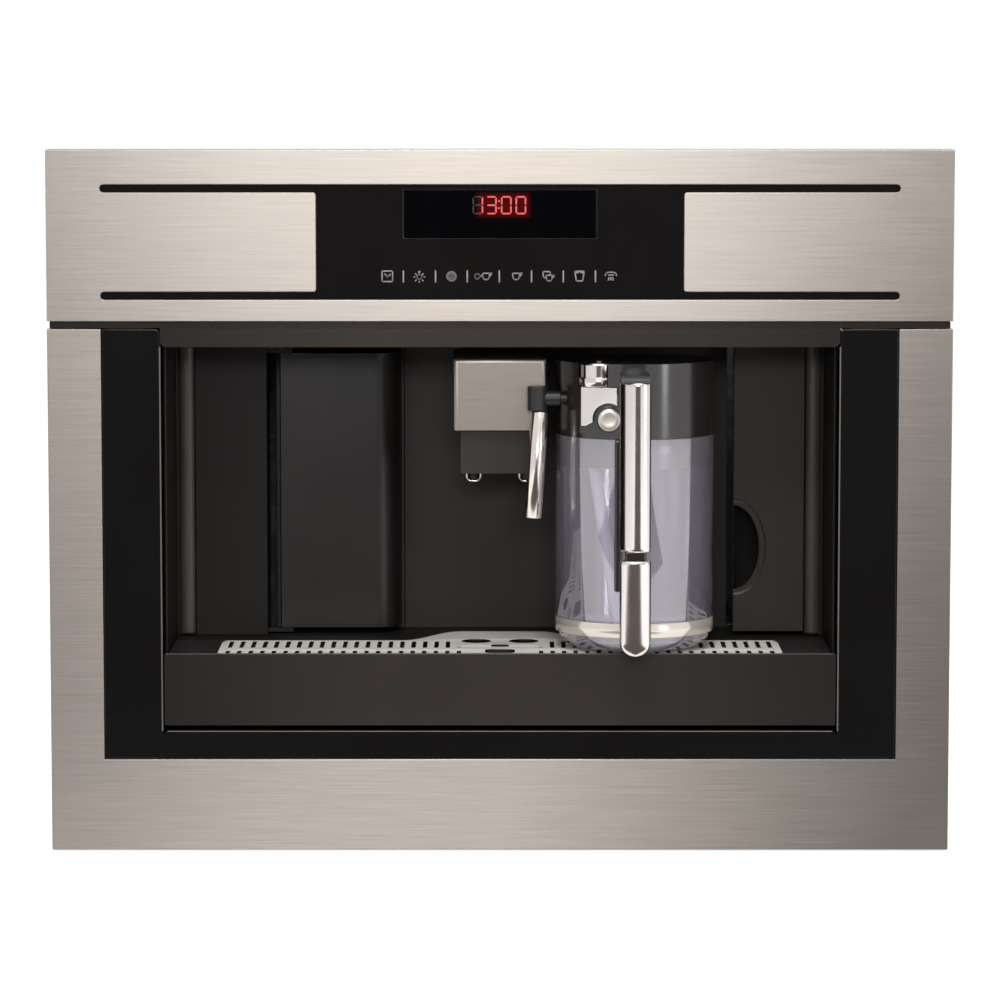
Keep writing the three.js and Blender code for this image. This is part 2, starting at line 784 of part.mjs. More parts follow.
// back wall with the spout's vertical guide; the steam nozzle's tail passes through it
function cavityBack() {
  const rear = cavityDepth + wallSheet;
  const guideBottom = spoutBottom + run;
  return cut(
    join(
      box(-backHalfLeft, backHalfRight, cavityDepth, rear, panTop + fit, cavityTop + wallSheet),
      box(-guideHalf, guideHalf, cavityDepth - guideReach, rear, guideBottom, cavityTop - fit)),
    rodY(plugRadius / 1.5 + fit, jugX, steamZ, cavityDepth - 1, rear + 1, 16));
}

// plan outline of the grid, grown for the tray around it; the rear edge swells in an S curve
function trayOutline(half, front, grow) {
  const steps = 6;
  const rear = gridRear + grow;
  const points = [[-half, front], [half, front], [half, rear]];
  const swell = [];
  for (let i = 0; i <= steps; i += 1) {
    const x = bulgeFoot + grow + (i / steps) * (bulgeFlat - bulgeFoot);
    swell.push([x, rear + bulgeReach * (1 - Math.cos((Math.PI * i) / steps)) / 2]);
  }
  points.push(...swell, ...swell.map(([x, y]) => [-x, y]).reverse(), [-half, rear]);
  return outline(points);
}

// floor under the drip tray and the grey deck behind it, open at the back
function trayCradle() {
  const half = wallInner - fit;
  const y = [casingFront, cavityDepth - fit];
  const seat = trayWall + 2 * run;
  const inner = half - wallSheet;
  const block = cut(
    box(-half, half, gridRear, y[1], cradleTop - cradleFloor, deckTop),
    extrude(trayOutline(half + 1, 0, seat), cradleTop, deckTop + 1));
  const hollow = cut(
    box(-inner, inner, gridRear, y[1] + 1, cradleTop, deckTop - wallSheet),
    extrude(trayOutline(half + 1, 0, seat + trayWall + run), cradleTop - 1, deckTop + 1));
  return join(cut(block, hollow), box(-half, half, ...y, cradleTop - cradleFloor, cradleTop));
}

// fixed panel left of the service door, with the door's hinge ears
function leftPanel() {
  const [x0, x1] = [-panelOuter, -panelInner];
  const height = [deckTop + fit, cavityTop - fit];
  const reach = 2 * hingePin;
  let panel = cover(x0, x1, ...height, bandDepth, cavityDepth - fit, sidePanelWall);
  for (const z of [doorBottom - fit - earThickness, doorTop + fit]) {
    const ear = cut(
      box(x1 - 1, hingeX + reach, hingeY - reach, hingeY + reach, z, z + earThickness),
      post(hingePin + fit, hingeX, hingeY, z - 1, z + earThickness + 1));
    panel = join(panel, ear);
  }
  return panel;
}

// nozzle that blows steam into the milk jug's lid
function steamNozzle() {
  return cut(
    join(
      rodY(plugRadius - 2 * fit, jugX, steamZ, jugY + bossReach - nozzleEntry, cavityDepth - fit, 20),
      rodY(1.6 * plugRadius, jugX, steamZ, cavityDepth - fit - 3, cavityDepth - fit, 24),
      rodY(plugRadius / 1.5, jugX, steamZ, cavityDepth - 1, cavityDepth + 15, 16)),
    rodY(2, jugX, steamZ, 0, cavityDepth + 20, 10));
}

// ---------------------------------------------------------------- drip tray
function trayFront() {
  const half = cavityHalf - 1.2;
  const y = [basinFront - fit - trayFrontThickness, basinFront - fit];
  return cut(
    box(-half, half, ...y, trayFrontBottom, trayTop),
    box(-half + 4, half - 4, y[1] - 1, y[1] + 1, trayFrontBottom + 3, trayTop - 8));
}

// tub for the waste water, hanging from a flange that carries the grid. The deep tub has a straight
// back and sloped ends; under the grid's swell there is only a shallow shelf that drains into it
function trayBasin() {
  const rim = trayWall + fit;
  const floor = basinBottom + trayWall;
  const shelf = rimBottom - shelfDepth;
  const flange = trayOutline(basinHalf, basinFront, rim);
  const tub = trayOutline(gridHalf - gridLedge + trayWall, basinFront, trayWall - gridLedge);
  const mouth = trayOutline(gridHalf - gridLedge, gridFront + gridLedge, -gridLedge);
  const seat = trayOutline(gridHalf + fit, gridFront - fit, fit);
  const back = gridRear - gridLedge;
  const deep = (outline, z0, z1, rear) => extrude(outline, z0, z1)
    .intersect(box(-basinHalf, basinHalf, 0, rear, z0, z1));
  const tray = cut(
    join(
      extrude(flange, rimBottom - rimThickness, gridTop),
      extrude(tub, shelf - trayWall, rimBottom - rimThickness + 1),
      deep(tub, basinBottom, shelf, back + trayWall)),
    extrude(mouth, shelf, gridTop + 1),
    deep(mouth, floor, shelf + 1, back),
    extrude(seat, rimBottom, gridTop + 1));
  const end = gridHalf - gridLedge;
  const slopes = [-1, 1].map((side) => extrude(outline([
    [side * (end - tubSlope), floor], [side * (end - tubSlope), floor - 1], [side * (end + 1), floor - 1],
    [side * (end + 1), floor + tubSlope], [side * end, floor + tubSlope]]),
  gridFront + gridLedge - 1, back + 1, alongY));
  return join(tray, ...slopes);
}

function cupGrid() {
  const z = [gridTop - gridThickness - 1, gridTop + 1];
  let grid = extrude(trayOutline(gridHalf, gridFront, 0), gridTop - gridThickness, gridTop);
  for (const side of [-1, 1]) {
    for (let i = 0; i < slotColumns; i += 1) {
      const x = side * (firstColumn + i * slotPitch);
      const rear = i ? rearSlot : [rearSlot[0] + 2, rearSlot[0] + 6];
      for (const y of [rear, frontSlot]) {
        grid = cut(grid, box(x - slotWidth / 2, x + slotWidth / 2, ...y, ...z));
      }
    }
    grid = cut(grid, post(drainHoleRadius, side * drainHoleX, drainHoleY, ...z, 20));
  }
  const [half, front, rear] = floatWindow;
  return cut(grid, box(-half, half, front, rear, ...z));
}

// float that rises through the grid's window when the tray is full
function levelFloat() {
  const [half, front, rear] = floatWindow;
  const gap = run + fit;
  const top = gridTop - 1;
  return box(-half + gap, half - gap, front + gap, rear - gap, top - floatHeight, top);
}

// ---------------------------------------------------------------- coffee spout
function spoutBody() {
  const bore = nozzleRadius - nozzleStep;
  const rear = cavityDepth - guideReach;
  const slide = guideHalf + run;
  let body = cut(
    box(-spoutHalf, spoutHalf, spoutFront, cavityDepth - fit, spoutBottom, spoutTop),
    box(-slide, slide, rear - run, cavityDepth + 1, spoutBottom - 1, spoutTop + 1),
    box(-spoutHalf + spoutWall, spoutHalf - spoutWall, spoutFront + spoutBlock, rear - run - spoutWall,
      spoutBottom - 1, spoutTop - spoutWall));
  for (const x of [-nozzleX, nozzleX]) {
    body = cut(body, post(bore, x, nozzleY, spoutBottom - 1, spoutBottom + nozzleSpigot + run, 16));
  }
  return body;
}

function spoutCover() {
  const top = spoutTop + fit + coverSheet;
  const inner = coverHalf - coverSheet;
  return cut(
    box(-coverHalf, coverHalf, coverFront, coverRear, coverBottom, top),
    box(-inner, inner, coverFront + coverSheet, coverRear + 1, coverBottom - 1, top - coverSheet));
}

function spoutNozzle(x) {
  const spigot = nozzleRadius - nozzleStep - fit;
  const profile = [
    [nozzleBore, -nozzleRim], [nozzleRadius, -nozzleRim], [nozzleRadius, 0],
    [spigot, 0], [spigot, nozzleSpigot], [nozzleBore, nozzleSpigot], [nozzleBore, -nozzleRim]];
  return turned(profile, x, nozzleY, spoutBottom - fit, 20);
}

// ---------------------------------------------------------------- milk jug, around its own axis
function jugContainer() {
  const [low, high] = jugRing;
  const inner = jugRadius - jugWall;
  const waist = jugRadius - ringThickness - fit;
  const floor = jugWall + 1;
  return turned([
    [0, 0], [jugFoot, 0], [jugRadius - 6, 3.5], [waist, low - fit], [waist, high + fit],
    [jugRadius, high + fit], [jugRadius, jugSeam], [inner, jugSeam], [inner, high + 6],
    [inner - 2, high], [inner - 2, low], [jugFoot - 1, floor], [0, floor]], 0, 0, 0, 32);
}

function jugBaseRing() {
  const [low, high] = jugRing;
  const inner = jugRadius - ringThickness;
  return turned([
    [inner, low], [jugRadius, low], [jugRadius, high], [inner, high], [inner, low]], 0, 0, 0, 32);
}

// front outline of the froth trim: square, with a bite around the cleaning button
function trimOutline(grow) {
  const left = knobX - knobRadius - grow;
  const right = knobX + knobRadius + grow;
  const bite = buttonRadius + 2.9 - grow;
  const start = Math.acos((right - buttonX) / bite);
  const shape = new THREE.Shape();
  shape.moveTo(left, trimBottom - grow);
  shape.lineTo(left + 3, trimBottom - grow);
  shape.absarc(buttonX, buttonZ, bite, 1.06 * Math.PI, start, true);
  shape.lineTo(right, knobBottom - fit + grow);
  shape.lineTo(left, knobBottom - fit + grow);
  return shape;
}

function tube(inner, outer, z0, z1) {
  return turned([[inner, z0], [outer, z0], [outer, z1], [inner, z1], [inner, z0]], 0, 0, 0, 32);
}

function frothTrim() {
  const shell = tube(jugRadius - lidWall + fit, jugRadius + trimProud, trimBottom - 1, knobBottom + 1);
  return shell.intersect(extrude(trimOutline(0), -jugRadius - 10, knobY + 14, alongY, 8));
}

// lid: shell with a skirt into the jug, blocks for knob and button, and the steam socket behind
function jugLid() {
  const z0 = jugSeam + fit;
  const inner = jugRadius - lidWall;
  const outer = turned([[0, z0], [jugRadius, z0], [jugRadius, lidTop], [0, lidTop]], 0, 0, 0, 32);
  const skirtOuter = jugRadius - jugWall - fit;
  const skirt = tube(skirtOuter - skirtWall, skirtOuter, z0 - skirtDrop, z0 + 1);
  const hollow = post(inner - 2, 0, 0, z0 - 1, lidTop - lidWall, 32);
  const blocks = join(
    box(knobX - 15, knobX + 17, -jugRadius, knobY + 17, z0 + 2, lidTop),
    box(-jugRadius, -jugRadius + 15, milkY - 8, milkY + 8, z0 + 2, lidTop));
  const boss = box(-bossHalf, bossHalf, jugRadius - bossRoot, bossReach, plugZ - bossHalf, plugZ + bossHalf);
  const bite = tube(jugRadius - lidWall, jugRadius + 9, trimBottom - 2, knobBottom)
    .intersect(extrude(trimOutline(fit), -jugRadius - 12, knobY + 15, alongY, 8));
  const shell = join(cut(outer, hollow), skirt, blocks.intersect(outer), boss);
  return cut(
    shell,
    bite,
    rodY(plugRadius, 0, plugZ, bossReach - bossBore, bossReach + 1),
    post(knobRadius + knobRing + run, knobX, knobY, knobBottom - fit, lidTop + 1, 28),
    post(knobStem + fit, knobX, knobY, knobBottom - 12, knobBottom, 12),
    rodY(buttonRadius + fit, buttonX, buttonZ, -jugRadius - 5, buttonBack + buttonTravel + fit, 24),
    rodX(3 + fit, milkY, milkZ, -jugRadius - 5, -jugRadius + 14, 12));
}

function intakeTube() {
  const length = jugSeam - 12;
  return cut(post(intakeRadius, 0, 0, -length, 0, 12), post(intakeRadius - 1.4, 0, 0, -length - 1, -6, 10));
}

function handleUpper() {
  const out = -jugRadius - handleReach;
  const inner = out + handleDepth;
  const r = 14;
  const side = new THREE.Shape();
  side.moveTo(out, upperBottom);
  side.lineTo(inner, upperBottom);
  side.lineTo(inner, upperTop - upperArm);
  side.lineTo(-jugRadius - fit, upperTop - upperArm);
  side.lineTo(-jugRadius - fit, upperTop);
  side.lineTo(out + r, upperTop);
  side.absarc(out + r, upperTop - r, r, Math.PI / 2, Math.PI);
  const half = upperWidth / 2;
  const [x0, x1] = [handleX - handlePeg, handleX + handlePeg];
  const peg = box(x0, x1, out + 2, inner - 2, lowerTop + fit, upperBottom + 1);
  return join(extrude(side, handleX - half, handleX + half, alongX), peg);
}

function handleLower() {
  const out = -jugRadius - handleReach;
  const inner = out + handleDepth;
  const r = 8;
  const half = lowerWidth / 2;
  const face = rounded(handleX - half, handleX + half, lowerBottom, lowerTop, [r, r, 0, 0]);
  const web = box(handleX - handlePeg, handleX + handlePeg, inner - 1, -jugRadius - fit, ...lowerWeb);
  return join(extrude(face, out, inner, alongY), web);
}

function frothKnob() {
  return join(
    post(knobRadius, knobX, knobY, knobBottom, lidTop, 24),
    post(knobRadius + knobRing, knobX, knobY, knobBottom, knobBottom + knobRingHeight, 24),
    box(knobX - 1.5, knobX + 1.5, knobY - knobRadius, knobY + knobRadius, lidTop - 1, lidTop + 2),
    post(knobStem, knobX, knobY, knobBottom - 11, knobBottom + 1, 12));
}

function cleanButton() {
  return rodY(buttonRadius, buttonX, buttonZ, buttonFront, buttonBack, 24);
}

function milkArm() {
  const surface = -Math.sqrt(jugRadius ** 2 - (milkY + armRadius) ** 2);
  return join(
    post(capRadius, milkX, milkY, milkZ - capHeight / 2, milkZ + capHeight / 2, 20),
    rodX(armRadius, milkY, milkZ, milkX, surface - fit, 16),
    rodX(3, milkY, milkZ, milkX, -jugRadius + 13, 12));
}

function milkTube() {
  return cut(
    post(tubeRadius, 0, 0, -tubeLength, 0, 20),
    post(tubeRadius - 1.2, 0, 0, -tubeLength - 1, -3, 16));
}

// ---------------------------------------------------------------- service door and brewing
// plan outline: flat front, round right edge, return to the back wall; pins in the panel's ears
function serviceDoor() {
  const r = doorCorner;
  const shape = new THREE.Shape();
  shape.moveTo(doorLeft, doorFront);
  shape.lineTo(doorRight - r, doorFront);
  shape.absarc(doorRight - r, doorFront + r, r, -Math.PI / 2, 0);
  shape.lineTo(doorRight, doorReturn);
  shape.lineTo(doorRight - doorSheet, doorReturn);
  shape.absarc(doorRight - r, doorFront + r, r - doorSheet, 0, -Math.PI / 2, true);
  shape.lineTo(doorLeft, doorFront + doorSheet);
  const barrel = post(hingePin + hingeBarrel, hingeX, hingeY, doorBottom, doorTop, 16);
  const pin = post(hingePin, hingeX, hingeY, doorBottom - earThickness, doorTop + earThickness, 16);
  return join(extrude(shape, doorBottom, doorTop, alongZ, 8), barrel, pin);
}

// tall box on the base pan, open in front; holds brew unit and grounds container
function brewHousing() {
  const rear = housingRear - housingWall;
  const ceiling = [housingTop - housingWall - 1, housingTop + 1];
  const mouth = chuteHalf - hopperWall + 1;
  return cut(
    box(housingLeft, bayRight + housingWall, housingFront, housingRear, panTop + fit, housingTop),
    box(bayLeft, bayRight, housingFront - 1, rear, housingFloor, housingTop - housingWall),
    box(bayLeft, bayRight, housingFront + housingWall, rear, 0, housingFloor - housingWall),
    post(grinderOutlet + 4, brewX, grinderY, ...ceiling, 16),
    box(brewX - mouth, brewX + mouth, chuteFront + hopperWall + 1, hopperFront - hopperWall, ...ceiling));
}

function groundsContainer() {
  const [x0, x1] = [bayLeft + run, bayRight - run];
  const [y0, y1] = [housingFront + run, housingRear - housingWall - run];
  const z0 = housingFloor + fit;
  const wall = containerWall;
  return cut(
    box(x0, x1, y0, y1, z0, z0 + containerHeight),
    box(x0 + wall, x1 - wall, y0 + wall, y1 - wall, z0 + wall, z0 + containerHeight + 1));
}

function brewUnit() {
  const [x0, x1] = [bayLeft + fit, bayRight - fit];
  const z = [brewBottom, brewBottom + brewHeight];
  const wall = 4;
  return cut(
    box(x0, x1, brewFront, brewFront + brewDepth, ...z),
    post(chamberRadius + run, brewX, chamberY, z[0] + brewBase, z[1] + 1, 28),
    box(x0 + wall, x1 - wall, brewFront - 1, brewFront + 5 * wall, z[0] + brewBase, z[1] - 5 * wall));
}

function brewChamber() {
  return turned([
    [0, 0], [chamberRadius, 0], [chamberRadius, chamberHeight], [chamberBore, chamberHeight],
    [chamberBore, brewBase], [0, brewBase]], brewX, chamberY, brewBottom + brewBase + fit, 28);
}

// ---------------------------------------------------------------- water tank
// half an oval, open at the panel's left edge
function recessOutline(grow) {
  const [reach, half] = [recessReach + grow, recessHalfHeight + grow];
  const shape = new THREE.Shape();
  shape.absellipse(panelInner, recessZ, reach, half, -Math.PI / 2, Math.PI / 2);
  shape.lineTo(panelInner - recessReach, recessZ + half);
  shape.lineTo(panelInner - recessReach, recessZ - half);
  return shape;
}

function tankFront() {
  return cut(
    box(panelInner, panelOuter, bandDepth, tankFrontBack, tankBottom, cavityTop - 0.7),
    extrude(recessOutline(0), bandDepth - 1, bandDepth + 1.5, alongY, 10),
    extrude(recessOutline(-recessBevel), bandDepth, tankFrontBack + 1, alongY, 10));
}

function waterTank() {
  const y0 = tankFrontBack + fit;
  const [x0, x1] = [tankLeft + tankWall, tankRight - tankWall];
  const [y, z] = [[y0 + tankWall, tankRear - tankWall], [tankBottom + tankWall, tankTop + 1]];
  const inside = cut(
    box(x0, x1, ...y, ...z),
    extrude(recessOutline(tankWall), y0 - 1, y0 + recessDepth + tankWall, alongY, 10));
  return cut(
    box(tankLeft, tankRight, y0, tankRear, tankBottom, tankTop),
    inside,
    extrude(recessOutline(0), y0 - 1, y0 + recessDepth, alongY, 10),
    rodY(spigotRadius + run, tankMiddle, spigotZ, tankRear - tankWall - 1, tankRear + 1, 16));
}

// stand under and beside the tank; its spigot opens the valve in the tank's rear wall
function tankBay() {
  const left = backHalfRight + fit;
  const right = wallOuter;
  const y = [cavityDepth + fit, tankRear + tankBayGap];
  return join(
    box(left, right, ...y, tankSeat - wallSheet, tankSeat),
    box(left, left + wallSheet, ...y, panTop + fit, tankSeat),
    box(right - wallSheet, right, ...y, panTop + fit, tankSeat),
    box(left, right, y[1] - wallSheet, y[1], panTop + fit, cavityTop),
    rodY(spigotRadius, tankMiddle, spigotZ, tankRear - tankWall + fit, y[1] - 1, 16));
}

// ---------------------------------------------------------------- hopper, grinder, lid, dial
function lidEars() {
  const gap = lidEar + 1;
  return [[hopperLeft - gap, hopperLeft - 1], [hopperRight + 1, hopperRight + gap]];
}

// bean hopper with a funnel to the grinder, and the ground coffee chute in front of it
function beanHopper() {
  const wall = hopperWall;
  const funnelTop = hopperBottom + funnelHeight;
  const cone = new THREE.CylinderGeometry(funnelRadius, throatRadius, funnelHeight - wall, 28);
  const middle = (funnelTop + hopperBottom + wall) / 2;
  const funnel = cone.rotateX(Math.PI / 2).translate(brewX, grinderY, middle);
  const [x0, x1] = [hopperLeft + wall, hopperRight - wall];
  const tub = cut(
    box(hopperLeft, hopperRight, hopperFront - wall, hopperRear, hopperBottom, hopperTop),
    box(x0, x1, hopperFront, hopperRear - wall, funnelTop - 0.5, hopperTop + 1),
    solidOf(funnel),
    post(throatRadius, brewX, grinderY, hopperBottom - 1, hopperBottom + wall + 1, 28));
  const inner = chuteHalf - wall;
  const y = [chuteFront + wall, hopperFront - wall];
  const chute = cut(
    box(brewX - chuteHalf, brewX + chuteHalf, chuteFront, hopperFront, housingTop + fit, hopperTop),
    box(brewX - inner, brewX + inner, ...y, housingTop, hopperTop + 1));
  return join(tub, chute);
}

// grinder under the hopper: burr housing, its foot on the brew housing, and the motor beside it
function grinder() {
  const top = hopperBottom - fit;
  const foot = housingTop + fit;
  const waist = housingTop + grinderFootHeight;
  const motor = [grinderY + motorStart, grinderY + motorStart + motorLength];
  return cut(
    join(
      post(grinderRadius, brewX, grinderY, waist, top, 24),
      post(grinderFoot, brewX, grinderY, foot, waist + 1, 24),
      box(brewX - motorHalf, brewX + motorHalf, ...motor, foot, housingTop + motorHeight)),
    post(throatRadius, brewX, grinderY, top - throatDepth, top + 1, 20),
    post(grinderOutlet, brewX, grinderY, housingTop, top - throatDepth + 1, 12));
}

// lid over beans and chute, turning on two pins behind it
function hopperLid() {
  const [x0, x1] = [hopperLeft + fit, hopperRight - fit];
  const z = casingTop + fit;
  const web = 10;
  return join(
    box(x0, x1, chuteFront, hopperRear, z, z + lidThickness),
    rodX(lidTube, lidHingeY, lidHingeZ, x0, x1, 12),
    box(x0 + web, x1 - web, hopperRear - 1, lidHingeY, z + 0.8, z + lidThickness),
    rodX(lidPin, lidHingeY, lidHingeZ, x0 - lidEar, x1 + lidEar, 12));
}

function grindKnob() {
  const z = casingTop + fit;
  const grip = dialRadius - 1;
  return join(
    post(dialRadius, dialX, grinderY, z, z + dialHeight - 3, 20),
    box(dialX - 2.5, dialX + 2.5, grinderY - grip, grinderY + grip, z, z + dialHeight),
    post(dialRadius / 3, dialX, grinderY, coverTop - dialRadius, z + 1, 16));
}

// ---------------------------------------------------------------- boiler, pump, board, inlet
function boiler() {
  const r = boilerRadius;
  const dome = r / 3;
  const half = r / 2;
  const neck = boilerHeight + boilerNeckHeight;
  const y = [boilerY - half, boilerY + half];
  const foot = panTop + fit;
  return join(
    turned([
      [0, 0], [r - dome, 0], [r, dome], [r, boilerHeight - dome], [r - dome, boilerHeight],
      [boilerNeck, boilerHeight], [boilerNeck, neck], [0, neck]], boilerX, boilerY, boilerBottom, 24),
    box(boilerX - half, boilerX + half, ...y, boilerBottom - boilerFoot - 1, boilerBottom + dome),
    box(boilerX - half, boilerX - half + boilerFoot, ...y, foot, boilerBottom),
    box(boilerX + half - boilerFoot, boilerX + half, ...y, foot, boilerBottom));
}

function pump() {
  const bottom = panTop + fit;
  const z = bottom + pumpRadius + pumpFoot;
  const half = pumpLength / 2;
  let body = join(
    rodY(pumpRadius, pumpX, z, boilerY - half, boilerY + half, 20),
    rodY(pumpPort, pumpX, z, boilerY - half - pumpPortLength, boilerY + half + pumpPortLength, 12));
  for (const y of [boilerY - half + 10, boilerY + half - 10 - footLength]) {
    body = join(body, box(pumpX - footHalf, pumpX + footHalf, y, y + footLength, bottom, z));
  }
  return body;
}

// power board on four posts; blocks for the transformer, relays and capacitors
function mainBoard() {
  const [x0, x1] = [boardLeft, boardLeft + boardWidth];
  const [z0, z1] = [coverTop - boardDrop - boardHeight, coverTop - boardDrop];
  const back = rearInner - boardStandoff;
  const front = back - boardThickness;
  const edge = 2 * boardPost;
  let board = box(x0, x1, front, back, z0, z1);
  for (const x of [x0 + edge, x1 - edge]) {
    for (const z of [z0 + edge, z1 - edge]) {
      board = join(board, rodY(boardPost, x, z, back - 1, rearInner - fit, 8));
    }
  }
  const blocks = [[8, 33, 22, 34], [48, 76, 26, 40], [88, 113, 18, 28], [8, 38, 90, 25], [58, 98, 100, 38]];
  for (const [left, right, low, size] of blocks) {
    board = join(board, box(x0 + left, x0 + right, front - size / 2, back - 1, z0 + low, z0 + low + size));
  }
  return board;
}

// inlet with three pins and, beside them, a pocket for the rocker switch
function powerInlet() {
  const [w, h] = [inletWidth / 2, inletHeight / 2];
  const rear = casingDepth + fit;
  const face = rear + inletFlange + 1;
  const socket = inletX - socketShift;
  const { x } = rockerPlace();
  const [rw, rh] = [rockerWidth / 2 + run, rockerHeight / 2 + run];
  const [sw, sh] = [socketHalfWidth, socketHalfHeight];
  const rim = [rear, rear + inletFlange];
  const [bw, bh] = [w - fit, h - fit];
  const [fw, fh] = [w + inletRim, h + inletRim];
  let inlet = cut(
    join(
      box(inletX - bw, inletX + bw, rear - inletDepth, rear + 1, inletZ - bh, inletZ + bh),
      box(inletX - fw, inletX + fw, ...rim, inletZ - fh, inletZ + fh)),
    box(socket - sw, socket + sw, rear - socketDepth, face, inletZ - sh, inletZ + sh),
    box(x - rw, x + rw, rear - rockerPocket, face, inletZ - rh, inletZ + rh));
  for (const [dx, dz] of [[-pinPitch, -2], [0, 3], [pinPitch, -2]]) {
    const [px, pz] = [socket + dx, inletZ + dz];
    const pin = [rear - socketDepth - 2, rear - socketDepth - 2 + pinLength];
    inlet = join(inlet, box(px - pinHalf, px + pinHalf, ...pin, pz - 2 * pinHalf, pz + 2 * pinHalf));
  }
  return inlet;
}

function rockerPlace() {
  return { x: inletX + inletWidth / 2 - rockerInset, y: casingDepth + fit + inletFlange - rockerSink };
}

// rocker around its own pivot line, its face hollowed to a shallow V-like curve
function rocker() {
  const half = rockerWidth / 2;
  const tall = rockerHeight / 2 - 0.6;
  const bow = 2 * rockerWidth;
  return cut(
    box(-half, half, -5, 4, -tall, tall),
    rodX(bow, bow + 3.2, 0, -rockerWidth, rockerWidth, 40));
}

// ---------------------------------------------------------------- assembly
const machine = new THREE.Group();
machine.position.z = shelfGap;

piece(machine, 'base_pan', basePan(), zinc);
piece(machine, 'side_wall_left', sideWall(-1), zinc);
piece(machine, 'side_wall_right', sideWall(1), zinc);
piece(machine, 'rear_cover', rearCover(), zinc);
piece(machine, 'top_cover', topCover(), zinc);
piece(machine, 'front_frame', frontFrame(), steel);
piece(machine, 'control_fascia', controlFascia(), steel);
piece(machine, 'control_glass', controlGlass(), gloss);
piece(machine, 'display_window', displayWindow(), smoked);
piece(machine, 'control_board', controlBoard(), boardGreen);
piece(machine, 'pillar_left', pillar(-1), gloss);
piece(machine, 'pillar_right', pillar(1), gloss);
piece(machine, 'lintel_bar', lintelBar(), graphite);
piece(machine, 'lower_strip', lowerStrip(), gloss);
piece(machine, 'cavity_wall_left', cavityWall(-1), darkPlastic);
piece(machine, 'cavity_wall_right', cavityWall(1), darkPlastic);
piece(machine, 'cavity_ceiling', cavityCeiling(), darkPlastic);
piece(machine, 'cavity_back', cavityBack(), darkPlastic);
piece(machine, 'tray_cradle', trayCradle(), greyPlastic);
piece(machine, 'left_panel', leftPanel(), darkPlastic);
piece(machine, 'steam_nozzle', steamNozzle(), chrome);
piece(machine, 'tray_front', trayFront(), graphite);
piece(machine, 'tray_basin', trayBasin(), blackPlastic);
piece(machine, 'cup_grid', cupGrid(), steel);
piece(machine, 'level_float', levelFloat(), redPlastic);
piece(machine, 'spout_body', spoutBody(), darkPlastic);
piece(machine, 'spout_cover', spoutCover(), steel);
piece(machine, 'nozzle_left', spoutNozzle(-nozzleX), chrome);
piece(machine, 'nozzle_right', spoutNozzle(nozzleX), chrome);
piece(machine, 'service_door', serviceDoor(), darkPlastic);
piece(machine, 'brew_housing', brewHousing(), blackPlastic);
piece(machine, 'grounds_container', groundsContainer(), blackPlastic);
piece(machine, 'brew_unit', brewUnit(), greyPlastic);
piece(machine, 'brew_chamber', brewChamber(), blackPlastic);
piece(machine, 'tank_bay', tankBay(), blackPlastic);
piece(machine, 'tank_front', tankFront(), darkPlastic);
piece(machine, 'water_tank', waterTank(), waterClear);
piece(machine, 'bean_hopper', beanHopper(), blackPlastic);
piece(machine, 'grinder', grinder(), greyPlastic);
piece(machine, 'hopper_lid', hopperLid(), smoked);
piece(machine, 'grind_knob', grindKnob(), blackPlastic);
piece(machine, 'boiler', boiler(), zinc);
piece(machine, 'pump', pump(), whitePlastic);
piece(machine, 'main_board', mainBoard(), boardGreen);
piece(machine, 'power_inlet', powerInlet(), blackPlastic);

const rockerMount = new THREE.Group();
rockerMount.position.set(rockerPlace().x, rockerPlace().y, inletZ);
rockerMount.rotation.x = THREE.MathUtils.degToRad(rockerTilt);
piece(rockerMount, 'main_switch', rocker(), redPlastic);
machine.add(rockerMount);

const jug = new THREE.Group();
jug.position.set(jugX, jugY, jugBase);
piece(jug, 'jug_container', jugContainer(), clear);
piece(jug, 'jug_base_ring', jugBaseRing(), cream);
piece(jug, 'jug_lid', jugLid(), blackPlastic);
piece(jug, 'handle_upper', handleUpper(), chrome);
piece(jug, 'handle_lower', handleLower(), chrome);
piece(jug, 'froth_trim', frothTrim(), chrome);
piece(jug, 'froth_knob', frothKnob(), chrome);
piece(jug, 'clean_button', cleanButton(), chrome);
piece(jug, 'milk_arm', milkArm(), blackPlastic);
machine.add(jug);

// the milk tube hangs from its cap, leaning to the left
const tubeMount = new THREE.Group();
tubeMount.position.set(milkX + 1.5, milkY, milkZ - capHeight / 2 - 0.75);
tubeMount.rotation.y = THREE.MathUtils.degToRad(tubeLean);
piece(tubeMount, 'milk_tube', milkTube(), chrome);
jug.add(tubeMount);

// the intake tube runs from the lid's block down to the jug's floor
const intakeMount = new THREE.Group();
intakeMount.position.set(knobX - 5.6, knobY + knobRadius + 1, jugSeam + 1.4);
intakeMount.rotation.y = -THREE.MathUtils.degToRad(intakeLean);
piece(intakeMount, 'intake_tube', intakeTube(), whitePlastic);
jug.add(intakeMount);

const coffeeMachine = new THREE.Group();
piece(coffeeMachine, 'cabinet_base', cabinetBase(), zinc);
piece(coffeeMachine, 'runner_middle_left', runnerMiddle(-1), zinc);
piece(coffeeMachine, 'runner_middle_right', runnerMiddle(1), zinc);
coffeeMachine.add(machine);

// the origin is under the middle of the whole, handle and inlet included
const frontmost = jugY - jugRadius - handleReach;
const rearmost = casingDepth + fit + inletFlange;
coffeeMachine.position.y = -(frontmost + rearmost) / 2;

export default coffeeMachine;
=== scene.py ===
import json
import math

import bmesh
import bpy
from mathutils import Matrix, Vector


